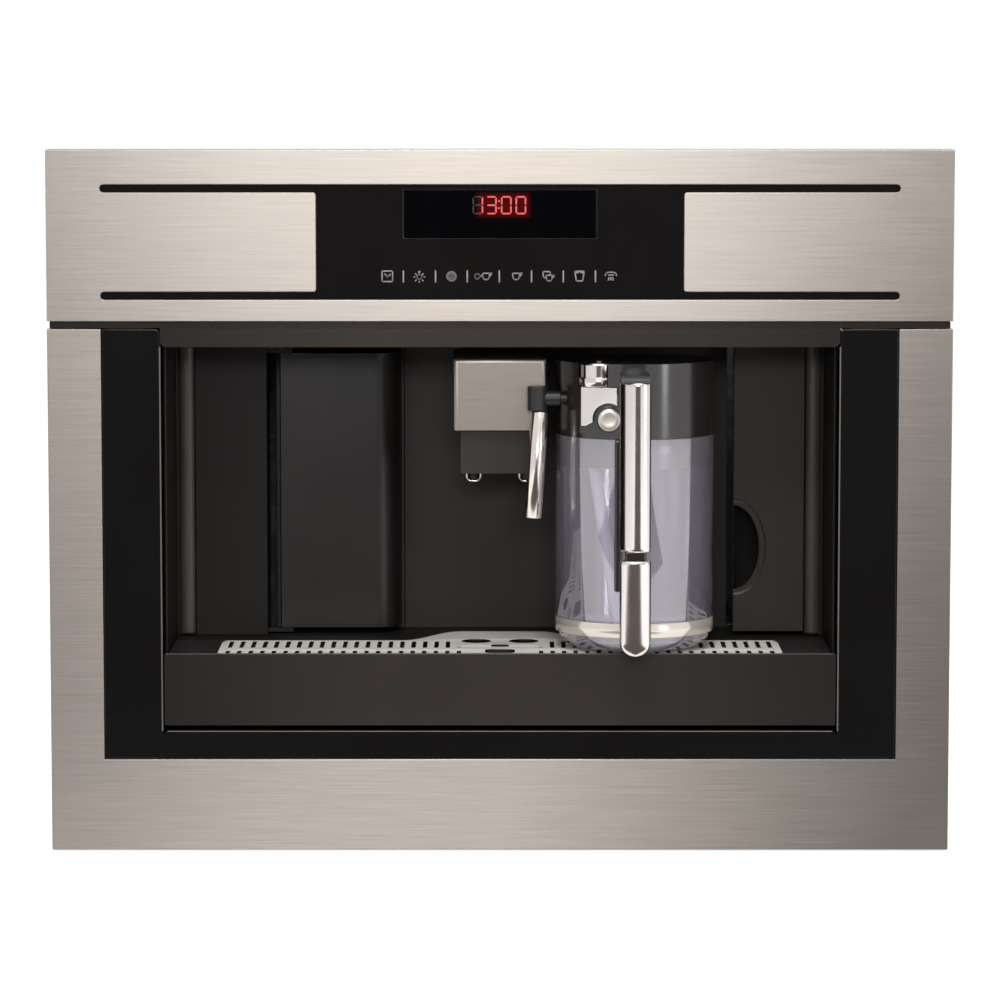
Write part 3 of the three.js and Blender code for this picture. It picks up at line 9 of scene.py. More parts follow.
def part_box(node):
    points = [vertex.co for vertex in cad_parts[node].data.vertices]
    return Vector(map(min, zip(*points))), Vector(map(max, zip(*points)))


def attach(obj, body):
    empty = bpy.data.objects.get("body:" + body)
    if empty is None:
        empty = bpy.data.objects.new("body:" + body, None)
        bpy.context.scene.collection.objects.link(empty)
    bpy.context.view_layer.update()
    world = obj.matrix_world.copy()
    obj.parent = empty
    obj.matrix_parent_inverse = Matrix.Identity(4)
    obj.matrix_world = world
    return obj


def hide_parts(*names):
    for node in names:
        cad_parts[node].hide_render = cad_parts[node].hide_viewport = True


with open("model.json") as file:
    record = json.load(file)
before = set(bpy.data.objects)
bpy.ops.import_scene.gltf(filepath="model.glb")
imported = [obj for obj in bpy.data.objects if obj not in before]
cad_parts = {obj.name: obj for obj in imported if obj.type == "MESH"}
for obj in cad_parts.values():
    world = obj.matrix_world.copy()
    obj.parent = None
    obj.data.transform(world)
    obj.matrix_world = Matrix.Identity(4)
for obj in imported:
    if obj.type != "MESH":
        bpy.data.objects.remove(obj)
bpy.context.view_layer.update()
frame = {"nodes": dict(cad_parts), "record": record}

# ------------------------------------------------------------------ camera
# The photograph is taken from straight in front, about 2.85 m away and slightly from above.
# The front plane is 0.6618 mm per pixel, so every pixel that is measured turns into millimetres.
MM = 0.001
PIXEL = 0.6618 * MM
middle_column, base_row = 499.5, 850.5  # pixels that show the front's middle and its lower edge
front_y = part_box("front_frame")[0].y
base_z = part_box("front_frame")[0].z
camera_away = 2846 * MM
camera_height = 529.8 * MM
camera_pitch = 5.92  # degrees, downwards
sensor_width, focal_length = 36, 156.3  # millimetres

camera = bpy.data.objects.new("camera", bpy.data.cameras.new("camera"))
bpy.context.scene.collection.objects.link(camera)
camera.location = (0, front_y - camera_away, camera_height)
camera.rotation_euler = (math.radians(90 - camera_pitch), 0, 0)
camera.data.sensor_width, camera.data.lens = sensor_width, focal_length
bpy.context.scene.camera = camera
bpy.context.scene.view_settings.view_transform = "Standard"


def at_pixel(column, row):
    """Place on the front plane that a pixel of the photograph shows: x and z in metres."""
    return (column - middle_column) * PIXEL, base_z + (base_row - row) * PIXEL


# ------------------------------------------------------------------ studio
# A white paper floor in a white tent, lit by four softboxes: high in front, low and narrow behind
# the camera, at the right, and overhead. A dark grey card runs along the floor from the machine and
# up behind the camera, as photographers hang it for glossy things: only reflections show it.


def lin(code):
    """sRGB hex value to a linear colour."""
    parts = [int(code[i:i + 2], 16) / 255 for i in (1, 3, 5)]
    return (*[p / 12.92 if p <= 0.04045 else ((p + 0.055) / 1.055) ** 2.4 for p in parts], 1)


def add(tree, kind, sockets=None, **settings):
    """Adds one node with its settings, values and links."""
    node = tree.nodes.new("ShaderNode" + kind)
    for key, value in settings.items():
        setattr(node, key, value)
    for key, value in (sockets or {}).items():
        if isinstance(value, bpy.types.NodeSocket):
            tree.links.new(value, node.inputs[key])
        else:
            node.inputs[key].default_value = value
    return node


def seen(tree):
    """1 for a ray from the camera, off a mirror or through glass, and 0 for one that lights a surface."""
    ray = add(tree, "LightPath").outputs
    most = add(tree, "Math", {0: ray["Is Camera Ray"], 1: ray["Is Glossy Ray"]}, operation="MAXIMUM")
    most = add(tree, "Math", {0: most.outputs[0], 1: ray["Is Transmission Ray"]}, operation="MAXIMUM")
    return most.outputs[0]


floor_size = 12
paper_glow = 0.65  # keeps the seen paper white and leaves the machine's shadow on it
floor_mesh = bpy.data.meshes.new("studio_floor")
corners = [(x * floor_size / 2, y * floor_size / 2, 0)
           for x, y in ((-1, -1), (1, -1), (1, 1), (-1, 1))]
floor_mesh.from_pydata(corners, [], [(0, 1, 2, 3)])
floor = bpy.data.objects.new("studio_floor", floor_mesh)
bpy.context.scene.collection.objects.link(floor)

paper = bpy.data.materials.new("white_studio_paper")
paper.use_nodes = True
tree = paper.node_tree
tree.nodes.clear()
lift = add(tree, "Math", {0: seen(tree), 1: paper_glow}, operation="MULTIPLY")
glow = add(tree, "Emission", {"Color": lin("#ffffff"), "Strength": lift.outputs[0]})
matt = add(tree, "BsdfDiffuse", {"Color": lin("#f2f2f2")})
both = add(tree, "AddShader", {0: matt.outputs[0], 1: glow.outputs[0]})
add(tree, "OutputMaterial", {"Surface": both.outputs[0]})
floor_mesh.materials.append(paper)

tent_light, tent_shown = 0.4, 1.02  # strength that lights the object, and strength that is seen
tent = bpy.data.worlds.new("white_tent")
bpy.context.scene.world = tent
tent.use_nodes = True
tree = tent.node_tree
tree.nodes.clear()
level = add(tree, "MapRange", {"Value": seen(tree), "To Min": tent_light, "To Max": tent_shown})
sky = add(tree, "Background", {"Color": lin("#ffffff"), "Strength": level.outputs[0]})
add(tree, "OutputWorld", {"Surface": sky.outputs[0]})

softboxes = [  # name, place, aim, width, height, watts
    ("high_softbox", (0.1, -2.0, 2.6), (0, 0, 0.25), 1.1, 1.0, 44.0),
    ("front_softbox", (-0.06, -3.5, 0.95), (0, 0, 0.25), 1.0, 0.4, 28.0),
    ("right_softbox", (1.7, -1.9, 0.62), (0, 0, 0.25), 0.3, 1.0, 9.0),
    ("top_softbox", (0, -0.4, 2.4), (0, -0.1, 0.2), 1.4, 1.0, 8.0),
]
for name, place, aim, width, height, watts in softboxes:
    light = bpy.data.lights.new(name, "AREA")
    light.shape = "RECTANGLE"
    light.size, light.size_y, light.energy = width, height, watts
    lamp = bpy.data.objects.new(name, light)
    bpy.context.scene.collection.objects.link(lamp)
    lamp.location = place
    lamp.rotation_euler = (Vector(aim) - Vector(place)).to_track_quat("-Z", "Y").to_euler()

card_rows = [  # distance from the front, half width and height of the card's folds
    (0.25, 0.34, 0.004), (4.2, 1.05, 0.004), (4.2, 1.05, 1.1)]
card_points = [(side * half, front_y - away, z) for away, half, z in card_rows for side in (-1, 1)]
card_mesh = bpy.data.meshes.new("dark_card")
card_mesh.from_pydata(card_points, [], [(0, 1, 3, 2), (2, 3, 5, 4)])
card = bpy.data.objects.new("dark_card", card_mesh)
bpy.context.scene.collection.objects.link(card)
card.visible_camera = card.visible_diffuse = card.visible_shadow = card.visible_transmission = False
dark_paper = bpy.data.materials.new("dark_grey_card")
dark_paper.use_nodes = True
tree = dark_paper.node_tree
tree.nodes.clear()
dim = add(tree, "Emission", {"Color": lin("#6c6461"), "Strength": 1.0})
add(tree, "OutputMaterial", {"Surface": dim.outputs[0]})
card_mesh.materials.append(dark_paper)

# ------------------------------------------------------------------ cabinet rails
# Zinc plated steel base plate that is screwed to the cabinet floor, with an outer runner folded
# up at each side. The middle runners roll in it. Zinc plating: grey metal with a soft spangle of
# crystals about 9 mm wide, some brighter than others.


def finish(name, **sockets):
    """New material with a Principled shader; the sockets are set by name, with _ for a space."""
    material = bpy.data.materials.new(name)
    material.use_nodes = True
    shader = material.node_tree.nodes["Principled BSDF"]
    for key, value in sockets.items():
        shader.inputs[key.replace("_", " ")].default_value = value
    return material, material.node_tree, shader


def place_in(tree, scale=(1, 1, 1)):
    """Object coordinates in metres, each axis times its own scale."""
    coords = add(tree, "TexCoord").outputs["Object"]
    return add(tree, "Mapping", {"Vector": coords, "Scale": scale}).outputs[0]


def mottle(tree, shader, dark, light, size, detail=3.0, stretch=(1, 1, 1)):
    """Colour that wanders between two hex values in patches of the given size in metres."""
    where = place_in(tree, stretch)
    noise = add(tree, "TexNoise", {"Vector": where, "Scale": 1 / size, "Detail": detail})
    blend = add(tree, "Mix", {0: noise.outputs["Fac"], 6: lin(dark), 7: lin(light)}, data_type="RGBA")
    tree.links.new(blend.outputs[2], shader.inputs["Base Color"])
    return noise


def rough_between(tree, shader, pattern, low, high):
    """Roughness that follows a pattern between two values."""
    span = add(tree, "MapRange", {"Value": pattern, "To Min": low, "To Max": high})
    tree.links.new(span.outputs[0], shader.inputs["Roughness"])


def raise_by(tree, shader, pattern, height):
    """Bump of a real height in metres from a pattern."""
    bump = add(tree, "Bump", {"Height": pattern, "Distance": height, "Strength": 1.0})
    tree.links.new(bump.outputs[0], shader.inputs["Normal"])


def solid_of(node):
    """The CAD node's solid as a bmesh: corners joined, flat faces whole."""
    source = frame["nodes"][node].data
    bm = bmesh.new()
    corners = [bm.verts.new(v.co) for v in source.vertices]
    bm.verts.ensure_lookup_table()
    weld = {}
    for v in corners:
        weld.setdefault(tuple(round(c, 6) for c in v.co), v)
    same = {v: weld[tuple(round(c, 6) for c in v.co)] for v in corners}
    for polygon in source.polygons:
        ring = [same[corners[i]] for i in polygon.vertices]
        if len(set(ring)) > 2 and not bm.faces.get(ring):
            bm.faces.new(ring)
    bmesh.ops.delete(bm, geom=[v for v in bm.verts if not v.link_faces], context="VERTS")
    bmesh.ops.dissolve_limit(bm, angle_limit=math.radians(1), verts=bm.verts, edges=bm.edges)
    return bm


def fine_grain(tree, shader, size, height, detail=2.0):
    """Fine moulded or sprayed grain: a pattern of one size that also stands up by a real height."""
    grain = add(tree, "TexNoise", {"Vector": place_in(tree), "Scale": 1 / size, "Detail": detail})
    raise_by(tree, shader, grain.outputs["Fac"], height)
    return grain


def mesh_from(bm, name):
    """Mesh with smooth shading from a bmesh, which is freed."""
    bmesh.ops.recalc_face_normals(bm, faces=bm.faces)
    mesh = bpy.data.meshes.new(name)
    bm.to_mesh(mesh)
    bm.free()
    mesh.shade_smooth()
    return mesh


def fit(name, mesh, material, body, replaced=(), edge=None, steps=2, place=None, angle=28,
        sharp=None):
    """Puts a piece in place: its material, edge radius and body, and hides the CAD nodes it stands for.

    Edges over angle degrees get the edge radius, and edges over sharp degrees stay sharp.
    """
    piece = bpy.data.objects.new(name, mesh)
    bpy.context.scene.collection.objects.link(piece)
    mesh.materials.append(material)
    if sharp:
        mesh.set_sharp_from_angle(angle=math.radians(sharp))
    if place is not None:
        piece.matrix_world = place
    if edge:
        bevel = piece.modifiers.new("edge_radius", "BEVEL")
        bevel.width, bevel.segments, bevel.limit_method = edge, steps, "ANGLE"
        bevel.angle_limit = math.radians(angle)
        bevel.use_clamp_overlap = True
        even = piece.modifiers.new("even_normals", "WEIGHTED_NORMAL")
        even.keep_sharp = True
    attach(piece, body)
    if replaced:
        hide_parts(*replaced)
    return piece


def body_of(node):
    """Name of the moving body that a CAD node belongs to."""
    return next(b for b, members in frame["record"]["behaviour"]["bodies"].items() if node in members)


def rounded(node, material, edge, steps=2):
    """The CAD node's own shape with its sharp edges rounded, as the real part's are."""
    mesh = mesh_from(solid_of(node), node + "_formed")
    fit(node + "_formed", mesh, material, body_of(node), (node,), edge, steps)


zinc, tree, shader = finish("zinc_plated_steel_sheet", Metallic=1.0, Roughness=0.53)
crystal = 9 * MM
cells = add(tree, "TexVoronoi", {"Vector": place_in(tree), "Scale": 1 / crystal})
shade = add(tree, "SeparateColor", {0: cells.outputs["Color"]})
soft = add(tree, "TexNoise", {"Vector": place_in(tree), "Scale": 1 / (60 * MM), "Detail": 2.0})
mixed = add(tree, "Math", {0: shade.outputs[0], 1: soft.outputs["Fac"]}, operation="MULTIPLY")
tint = add(tree, "Mix", {0: mixed.outputs[0], 6: lin("#8f9294"), 7: lin("#c3c6c7")}, data_type="RGBA")
tree.links.new(tint.outputs[2], shader.inputs["Base Color"])
rough_between(tree, shader, shade.outputs[1], 0.46, 0.6)

sheet_edge = 0.4 * MM
for node in ("cabinet_base", "runner_middle_left", "runner_middle_right"):
    rounded(node, zinc, sheet_edge)

# ------------------------------------------------------------------ casing
# Folded zinc plated sheet around the machine: pan, two sides, rear cover with vents and a lid
# with the hole over the bean hopper. Pan head screws with a cross recess hold the sides and the
# rear cover.
for node in ("base_pan", "side_wall_left", "side_wall_right", "rear_cover", "top_cover"):
    rounded(node, zinc, sheet_edge)

screw_radius, screw_height, screw_inset = 3.4 * MM, 1.5 * MM, 9 * MM
screw_segments, cross_points = 20, 8
head = [(1, -0.1), (1, 0.5), (0.86, 0.85), (0.5, 1)]  # shares of the radius and of the height
cross_top, cross_floor = (0.46, 0.22, 1), (0.42, 0.2, 0.3)  # its tips, its nooks and its height
side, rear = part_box("side_wall_right"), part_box("rear_cover")
spots = []  # place and outward direction of each screw
for way in (1, -1):  # the sides' outer faces lie flush with the rear cover's ends
    for y in (side[0].y + 3 * screw_inset, 0, side[1].y - 3 * screw_inset):
        for z in (side[1].z - screw_inset, side[0].z + 6 * screw_inset):
            spots.append(((way * rear[1].x, y, z), (way, 0, 0)))
for x in (-0.9, -0.3, 0.3, 0.9):  # shares of the cover's half width
    for z in (rear[0].z + screw_inset, rear[1].z - screw_inset):
        spots.append(((x * rear[1].x, rear[1].y, z), (0, 1, 0)))


def ring_at(bm, place, height, count, outer, inner=None):
    """Ring of points around a placed axis; with an inner radius, every second point lies on it."""
    made = []
    for i in range(count):
        radius = outer if inner is None or i % 2 else inner
        a = 2 * math.pi * i / count
        made.append(bm.verts.new(place @ Vector((radius * math.cos(a), radius * math.sin(a), height))))
    return made


def skin(bm, rings, first=True, last=True):
    """Faces between closed rings of as many points, and over the first and the last ring."""
    for low, high in zip(rings, rings[1:]):
        for i in range(len(low)):
            j = (i + 1) % len(low)
            bm.faces.new((low[i], low[j], high[j], high[i]))
    if first:
        bm.faces.new(rings[0][::-1])
    if last:
        bm.faces.new(rings[-1])
    return bm


bm = bmesh.new()
for spot, way in spots:
    turn = Vector((0, 0, 1)).rotation_difference(Vector(way)).to_matrix().to_4x4()
    put = Matrix.Translation(spot) @ turn
    rings = [ring_at(bm, put, rise * screw_height, screw_segments, share * screw_radius)
             for share, rise in head]
    skin(bm, rings, last=False)
    floor_star, top_star = [
        ring_at(bm, put, rise * screw_height, cross_points, tip * screw_radius, nook * screw_radius)
        for tip, nook, rise in (cross_floor, cross_top)]
    skin(bm, [top_star, floor_star], first=False)
    per = screw_segments / cross_points
    for i in range(cross_points):  # the head's flat top, between its rim and the cross
        arc = [rings[-1][round(k) % screw_segments] for k in
               range(round(i * per), round((i + 1) * per) + 1)]
        bm.faces.new([top_star[i], *arc, top_star[(i + 1) % cross_points]])
fit("casing_screws", mesh_from(bm, "casing_screws"), zinc, "machine")

# ------------------------------------------------------------------ steel front
# U frame and control panel of stainless steel sheet, edges folded back. The face is brushed from
# side to side: hair lines about 0.2 mm wide, drawn 0.8 mm coarse so that they show, and a
# reflection that is drawn out up and down across them.
steel, tree, shader = finish("brushed_stainless_steel", Metallic=1.0, Roughness=0.34, Anisotropic=0.85,
                             Anisotropic_Rotation=0.25)
line_width, line_length, line_height = 0.8 * MM, 60 * MM, 0.006 * MM
# painted shade: the sheet's colour gets darker to the lower right and to the lower corners, away from the
# high softbox, where its reflection falls off
slant_from, slant_to = -200 * MM, 250 * MM  # x less z, from the upper left to the lower right
corner_from, corner_full, painted_corner_shade = 420 * MM, 0.11, 0.74  # height, |x| times depth below it, tone
grain = add(tree, "TexNoise", {
    "Vector": place_in(tree, (1 / line_length, 1 / line_width, 1 / line_width)), "Scale": 1.0, "Detail": 4.0,
    "Roughness": 0.65})
cloud = add(tree, "TexNoise", {"Vector": place_in(tree), "Scale": 1 / (260 * MM), "Detail": 2.0})
coords = add(tree, "SeparateXYZ", {0: add(tree, "TexCoord").outputs["Object"]}).outputs
low_right = add(tree, "Math", {0: coords[0], 1: coords[2]}, operation="SUBTRACT")
fall = add(tree, "MapRange", {"Value": low_right.outputs[0], "From Min": slant_from, "From Max": slant_to})
tone = add(tree, "Mix", {0: fall.outputs[0], 6: lin("#948d87"), 7: lin("#6e6863")}, data_type="RGBA")
streak = add(tree, "MapRange", {"Value": grain.outputs["Fac"], "From Min": 0.3, "From Max": 0.7,
                                "To Min": 0.88, "To Max": 1.1})
patch = add(tree, "MapRange", {"Value": cloud.outputs["Fac"], "To Min": 0.94, "To Max": 1.06})
both = add(tree, "Math", {0: streak.outputs[0], 1: patch.outputs[0]}, operation="MULTIPLY")
# painted shade towards the lower corners: |x| times the depth below corner_from
outward = add(tree, "Math", {0: coords[0]}, operation="ABSOLUTE")
below = add(tree, "Math", {0: corner_from, 1: coords[2]}, operation="SUBTRACT")
far = add(tree, "Math", {0: outward.outputs[0], 1: below.outputs[0]}, operation="MULTIPLY")
shade = add(tree, "MapRange", {
    "Value": far.outputs[0], "From Max": corner_full, "To Min": 1.0, "To Max": painted_corner_shade})
both = add(tree, "Math", {0: both.outputs[0], 1: shade.outputs[0]}, operation="MULTIPLY")
# the base colour is the steel's tone with its grain and patches, times the painted shade
brushed = add(tree, "VectorMath", {0: tone.outputs[2], "Scale": both.outputs[0]}, operation="SCALE")
tree.links.new(brushed.outputs[0], shader.inputs["Base Color"])
rough_between(tree, shader, grain.outputs["Fac"], 0.3, 0.38)
raise_by(tree, shader, grain.outputs["Fac"], line_height)
along = add(tree, "Tangent", direction_type="RADIAL", axis="Z")
tree.links.new(along.outputs[0], shader.inputs["Tangent"])

front_edge = 0.7 * MM
for node in ("front_frame", "control_fascia"):
    rounded(node, steel, front_edge, 3)

# ------------------------------------------------------------------ touch glass and display
# One black glass panel between two steel islands, back printed, with the display's window in its
# upper half. Behind it sit the red segment digits of the clock, and a row of printed touch
# symbols with a fine bar between each two. Glass: black with a weak clear reflection.
black_glass, tree, shader = finish("black_printed_glass", Roughness=0.06, IOR=1.5)
noise = mottle(tree, shader, "#080707", "#0d0b0c", 40 * MM)
rough_between(tree, shader, noise.outputs["Fac"], 0.05, 0.1)
rounded("control_glass", black_glass, 0.4 * MM)

window_glass, tree, shader = finish("dark_display_filter", Roughness=0.05, IOR=1.2,
                                    Emission_Strength=1.0)
mottle(tree, shader, "#020203", "#040407", 30 * MM)
digit_left = [472, 485.4, 500.2, 514.6]  # pixel columns of the four digits
digit_top, digit_rows, digit_columns = 195.2, 18.4, 11  # pixels
colon_column, colon_rows = 498.4, (5.2, 12.2)  # pixels, the rows from the digits' top
lit_columns = (479, 526.5)  # pixels, from the lit 1 to the last digit
digit_width, digit_height, digit_stroke = digit_columns * PIXEL, digit_rows * PIXEL, 1.9 * PIXEL
glow_from, glow_to = -1 * MM, 3.5 * MM  # painted glow: the filter's own emission stands for the digits' light spread in it, and fades around them
lit_left, lit_top = at_pixel(lit_columns[0], digit_top)
lit_right, lit_low = at_pixel(lit_columns[1], digit_top + digit_rows)
coords = add(tree, "SeparateXYZ", {0: add(tree, "TexCoord").outputs["Object"]}).outputs
near = []
for axis, low, high in ((0, lit_left, lit_right), (2, lit_low, lit_top)):
    middle, half = (low + high) / 2, (high - low) / 2
    off = add(tree, "Math", {0: coords[axis], 1: middle}, operation="SUBTRACT")
    off = add(tree, "Math", {0: off.outputs[0]}, operation="ABSOLUTE")
    near.append(add(tree, "MapRange", {
        "Value": off.outputs[0], "From Min": half + glow_from, "From Max": half + glow_to,
        "To Min": 1.0, "To Max": 0.0}, interpolation_type="SMOOTHSTEP").outputs[0])
# painted glow in the filter round the lit digits
glow = add(tree, "Math", {0: near[0], 1: near[1]}, operation="MULTIPLY")
painted_red_glow = add(tree, "Mix", {0: glow.outputs[0], 6: lin("#000000"), 7: lin("#4a0608")}, data_type="RGBA")
tree.links.new(painted_red_glow.outputs[2], shader.inputs["Emission Color"])
rounded("display_window", window_glass, 0.3 * MM)

segment_spots = {  # ends of each segment in shares of the digit's width and height
    "a": ((0, 1), (1, 1)), "b": ((1, 1), (1, 0.5)), "c": ((1, 0.5), (1, 0)), "d": ((0, 0), (1, 0)),
    "e": ((0, 0.5), (0, 0)), "f": ((0, 1), (0, 0.5)), "g": ((0, 0.5), (1, 0.5))}
segment_gap, segment_width = 0.55, 0.85  # shares of the digits' stroke
digits = {"1": "bc", "3": "abgcd", "0": "abcdef"}
glass_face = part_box("control_glass")[0].y
print_depth = 0.06 * MM


def stroke(bm, points, width):
    """Printed line of one width through points (x, z) on the glass, as thin bars with pointed ends."""
    for (x0, z0), (x1, z1) in zip(points, points[1:]):
        along = Vector((x1 - x0, 0, z1 - z0))
        if along.length < 1e-7:
            continue
        along.normalize()
        out = Vector((-along.z, 0, along.x)) * width / 2
        tip = along * width * 0.45
        a, b = Vector((x0, 0, z0)), Vector((x1, 0, z1))
        ring = [a + out, a - tip, a - out, b - out, b + tip, b + out]
        skin(bm, [[bm.verts.new((p.x, glass_face + depth, p.z)) for p in ring]
                  for depth in (print_depth, -print_depth)])


def disc(bm, x, z, radius, steps=16):
    """Printed dot on the glass."""
    facing = Matrix.Translation((x, glass_face, z)) @ Matrix.Rotation(math.radians(90), 4, "X")
    skin(bm, [ring_at(bm, facing, depth, steps, radius) for depth in (-print_depth, print_depth)])


lit = bmesh.new()
unlit = bmesh.new()
for left, figure in zip(digit_left, "1300"):
    x0, z1 = at_pixel(left + 1, digit_top + 1)
    width, height = digit_width - digit_stroke, digit_height - digit_stroke
    for key, (start, end) in segment_spots.items():
        if key not in digits[figure] and figure != "1":  # unlit ones show beside the narrow 1 alone
            continue
        ends = [Vector((x0 + s[0] * width, z1 - (1 - s[1]) * height)) for s in (start, end)]
        gap = (ends[1] - ends[0]).normalized() * digit_stroke * segment_gap
        bar = [tuple(ends[0] + gap), tuple(ends[1] - gap)]
        stroke(lit if key in digits[figure] else unlit, bar, digit_stroke * segment_width)
for rows in colon_rows:
    disc(lit, *at_pixel(colon_column, digit_top + rows), 1.0 * PIXEL)

red_light, tree, shader = finish("red_led_segment", Roughness=0.4, Base_Color=lin("#3a0c0d"),
                                 Emission_Strength=1.0)
noise = add(tree, "TexNoise", {"Vector": place_in(tree), "Scale": 1 / (2.5 * MM)})
tint = add(tree, "Mix", {0: noise.outputs["Fac"], 6: lin("#e8352f"), 7: lin("#f47a72")}, data_type="RGBA")
tree.links.new(tint.outputs[2], shader.inputs["Emission Color"])
fit("clock_digits", mesh_from(lit, "clock_digits"), red_light, "machine")
dim_light, tree, shader = finish("unlit_led_segment", Roughness=0.4)
mottle(tree, shader, "#141213", "#1e1c1d", 2 * MM)
fit("clock_digit_unlit", mesh_from(unlit, "clock_digit_unlit"), dim_light, "machine")

symbol_row, bar_rows = 274.8, (269.3, 280.5)  # pixels
bar_columns = [403.7, 435.6, 467, 498.8, 530.7, 562.2, 594.1]
symbol_columns = {"clock": 387.8, "lamp": 419.5, "bean": 451.4, "bean and cup": 483, "cup": 515.4,
                  "two cups": 546.8, "glass": 578.3, "steam": 609.4}
symbol_stroke, bar_stroke = 1.25 * PIXEL, 1.5 * PIXEL
prints = bmesh.new()
for column in bar_columns:
    stroke(prints, [at_pixel(column, row) for row in bar_rows], bar_stroke)


def sketch(symbol, *lines, width=symbol_stroke):
    """Printed lines around a symbol's middle, in pixels to the right and up."""
    for points in lines:
        places = [at_pixel(symbol_columns[symbol] + u, symbol_row - v) for u, v in points]
        stroke(prints, places, width)


def circle(u, v, radius, steps=16):
    """Closed round line in a sketch."""
    return [(u + radius * math.cos(2 * math.pi * i / steps), v + radius * math.sin(2 * math.pi * i / steps))
            for i in range(steps + 1)]


# clock: square dial with two hands and a pivot
sketch("clock", [(-5.2, -5.2), (5.2, -5.2), (5.2, 5.2), (-5.2, 5.2), (-5.2, -5.2)],
       [(-2.6, 2.6), (0, -0.6), (3, 2)])
disc(prints, *at_pixel(symbol_columns["clock"], symbol_row + 0.4), 1.1 * PIXEL)
# lamp: bulb with rays
sketch("lamp", circle(0, -0.6, 2.4), [(-5.6, -0.6), (-4.2, -0.6)], [(4.2, -0.6), (5.6, -0.6)],
       [(-4, -4.6), (-3, -3.6)], [(4, -4.6), (3, -3.6)], [(0, -6), (0, -4.8)], [(-4, 2.6), (-2.6, 1.4)],
       [(4, 2.6), (2.6, 1.4)], width=0.9 * symbol_stroke)
disc(prints, *at_pixel(symbol_columns["lamp"], symbol_row - 4.2), 1.2 * PIXEL)
# ground coffee: a round bean with its cleft
sketch("bean", circle(0, 0, 4.6), circle(0, 0, 3.2), [(-2.6, -2.6), (-0.6, -0.8), (0.6, 0.8), (2.6, 2.6)],
       [(-3, 0.6), (-0.6, 2.6)], [(3, -0.6), (0.6, -2.6)])
# a bean beside a cup, one cup, two cups one behind the other
cup = [(-3.4, 3), (-3, -1.6), (-1.6, -3.2), (1.6, -3.2), (3, -1.6), (3.6, 3), (-3.4, 3)]
sketch("bean and cup", circle(-6, 0, 2.5), [(-3.6, 0.4), (-0.6, 0.4)], [(u + 2.6, v) for u, v in cup],
       [(6.2, 3), (8.6, 3.2), (6.6, 0.2)])
sketch("cup", cup, [(3.6, 3), (6, 3.2), (3.8, -0.4)])
sketch("two cups", [(u * 0.9 + 1.4, v * 0.9 - 1.6) for u, v in cup], [(-4.8, 4.6), (2.4, 4.6), (2.4, 2.2)],
       [(-4.8, 4.6), (-4.2, -1), (-2.6, -1.6)], [(4.8, 1), (6.6, 1), (5, -1.6)])
# tall glass with foam, and the steam outlet over its spray
sketch("glass", [(-4.6, 5), (-3.2, -4.6), (3.2, -4.6), (4.6, 5)], [(-3.4, 3.6), (-1, 3.6)],
       [(1, 3.6), (3.4, 3.6)], [(-4.6, 5), (4.6, 5)])
sketch("steam", [(-5.6, 0.6), (-5, 3), (-2.6, 4), (2.6, 4), (5, 3), (5.6, 0.6)], [(-2.6, 1.2), (2.6, 1.2)],
       [(-1.8, -1.2), (-2.6, -4)], [(0, -1.2), (0, -4)], [(1.8, -1.2), (2.6, -4)])
symbol_ink, tree, shader = finish("grey_printed_ink", Roughness=0.55)
mottle(tree, shader, "#7d787a", "#9b9697", 3 * MM)
fit("touch_symbols", mesh_from(prints, "touch_symbols"), symbol_ink, "machine")

# ------------------------------------------------------------------ black surround of the cup space
# Pillars and lower strip are glossy black ABS mouldings behind the steel cut-out, with a fine
# grey edge line where they meet the cup space. ABS, polished mould: deep black with a clear
# reflection. The lintel bar over the cup space is painted graphite.
gloss_abs, tree, shader = finish("gloss_black_abs", Roughness=0.08, IOR=1.45)
noise = mottle(tree, shader, "#080808", "#0d0d0d", 55 * MM)
rough_between(tree, shader, noise.outputs["Fac"], 0.06, 0.13)
for node in ("pillar_left", "pillar_right", "lower_strip"):
    rounded(node, gloss_abs, 1.0 * MM, 3)

edge_grey, tree, shader = finish("grey_edge_line", Roughness=0.35)
mottle(tree, shader, "#4c4946", "#625e5a", 12 * MM)
line_half, line_proud, line_sunk, line_inset = 0.5 * MM, 0.1 * MM, 1.2 * MM, 3 * MM
pillar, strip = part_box("pillar_right"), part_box("lower_strip")


def block(bm, low, high):
    """Box between two corners."""
    made = bmesh.ops.create_cube(bm, size=1)["verts"]
    low, high = Vector(low), Vector(high)
    for v in made:
        v.co = Vector(((low[i] + high[i]) / 2 + v.co[i] * (high[i] - low[i]) for i in range(3)))


bm = bmesh.new()
for way in (-1, 1):
    block(bm, (way * pillar[0].x - line_half, pillar[0].y - line_proud, strip[1].z),
          (way * pillar[0].x + line_half, pillar[0].y + line_sunk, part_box("lintel_bar")[0].z))
block(bm, (strip[0].x + line_inset, strip[0].y - line_proud, strip[1].z - line_half),
      (strip[1].x - line_inset, strip[0].y + line_sunk, strip[1].z + 0.2 * MM))
fit("surround_edge_lines", mesh_from(bm, "surround_edge_lines"), edge_grey, "machine",
    edge=0.2 * MM)

# graphite paint: sprayed, with a fine orange peel; painted shade makes its colour darker to both ends, away
# from the light
shade_from, shade_to, painted_end_shade = 80 * MM, 220 * MM, 0.4
graphite, tree, shader = finish("graphite_paint", Metallic=0.3, Roughness=0.4, IOR=1.3)
noise = mottle(tree, shader, "#282321", "#312c2a", 90 * MM)
middle_tone = shader.inputs["Base Color"].links[0].from_socket
coords = add(tree, "SeparateXYZ", {0: add(tree, "TexCoord").outputs["Object"]}).outputs
outward = add(tree, "Math", {0: coords[0]}, operation="ABSOLUTE")
fall = add(tree, "MapRange", {"Value": outward.outputs[0], "From Min": shade_from, "From Max": shade_to,
                              "To Min": 1.0, "To Max": painted_end_shade})
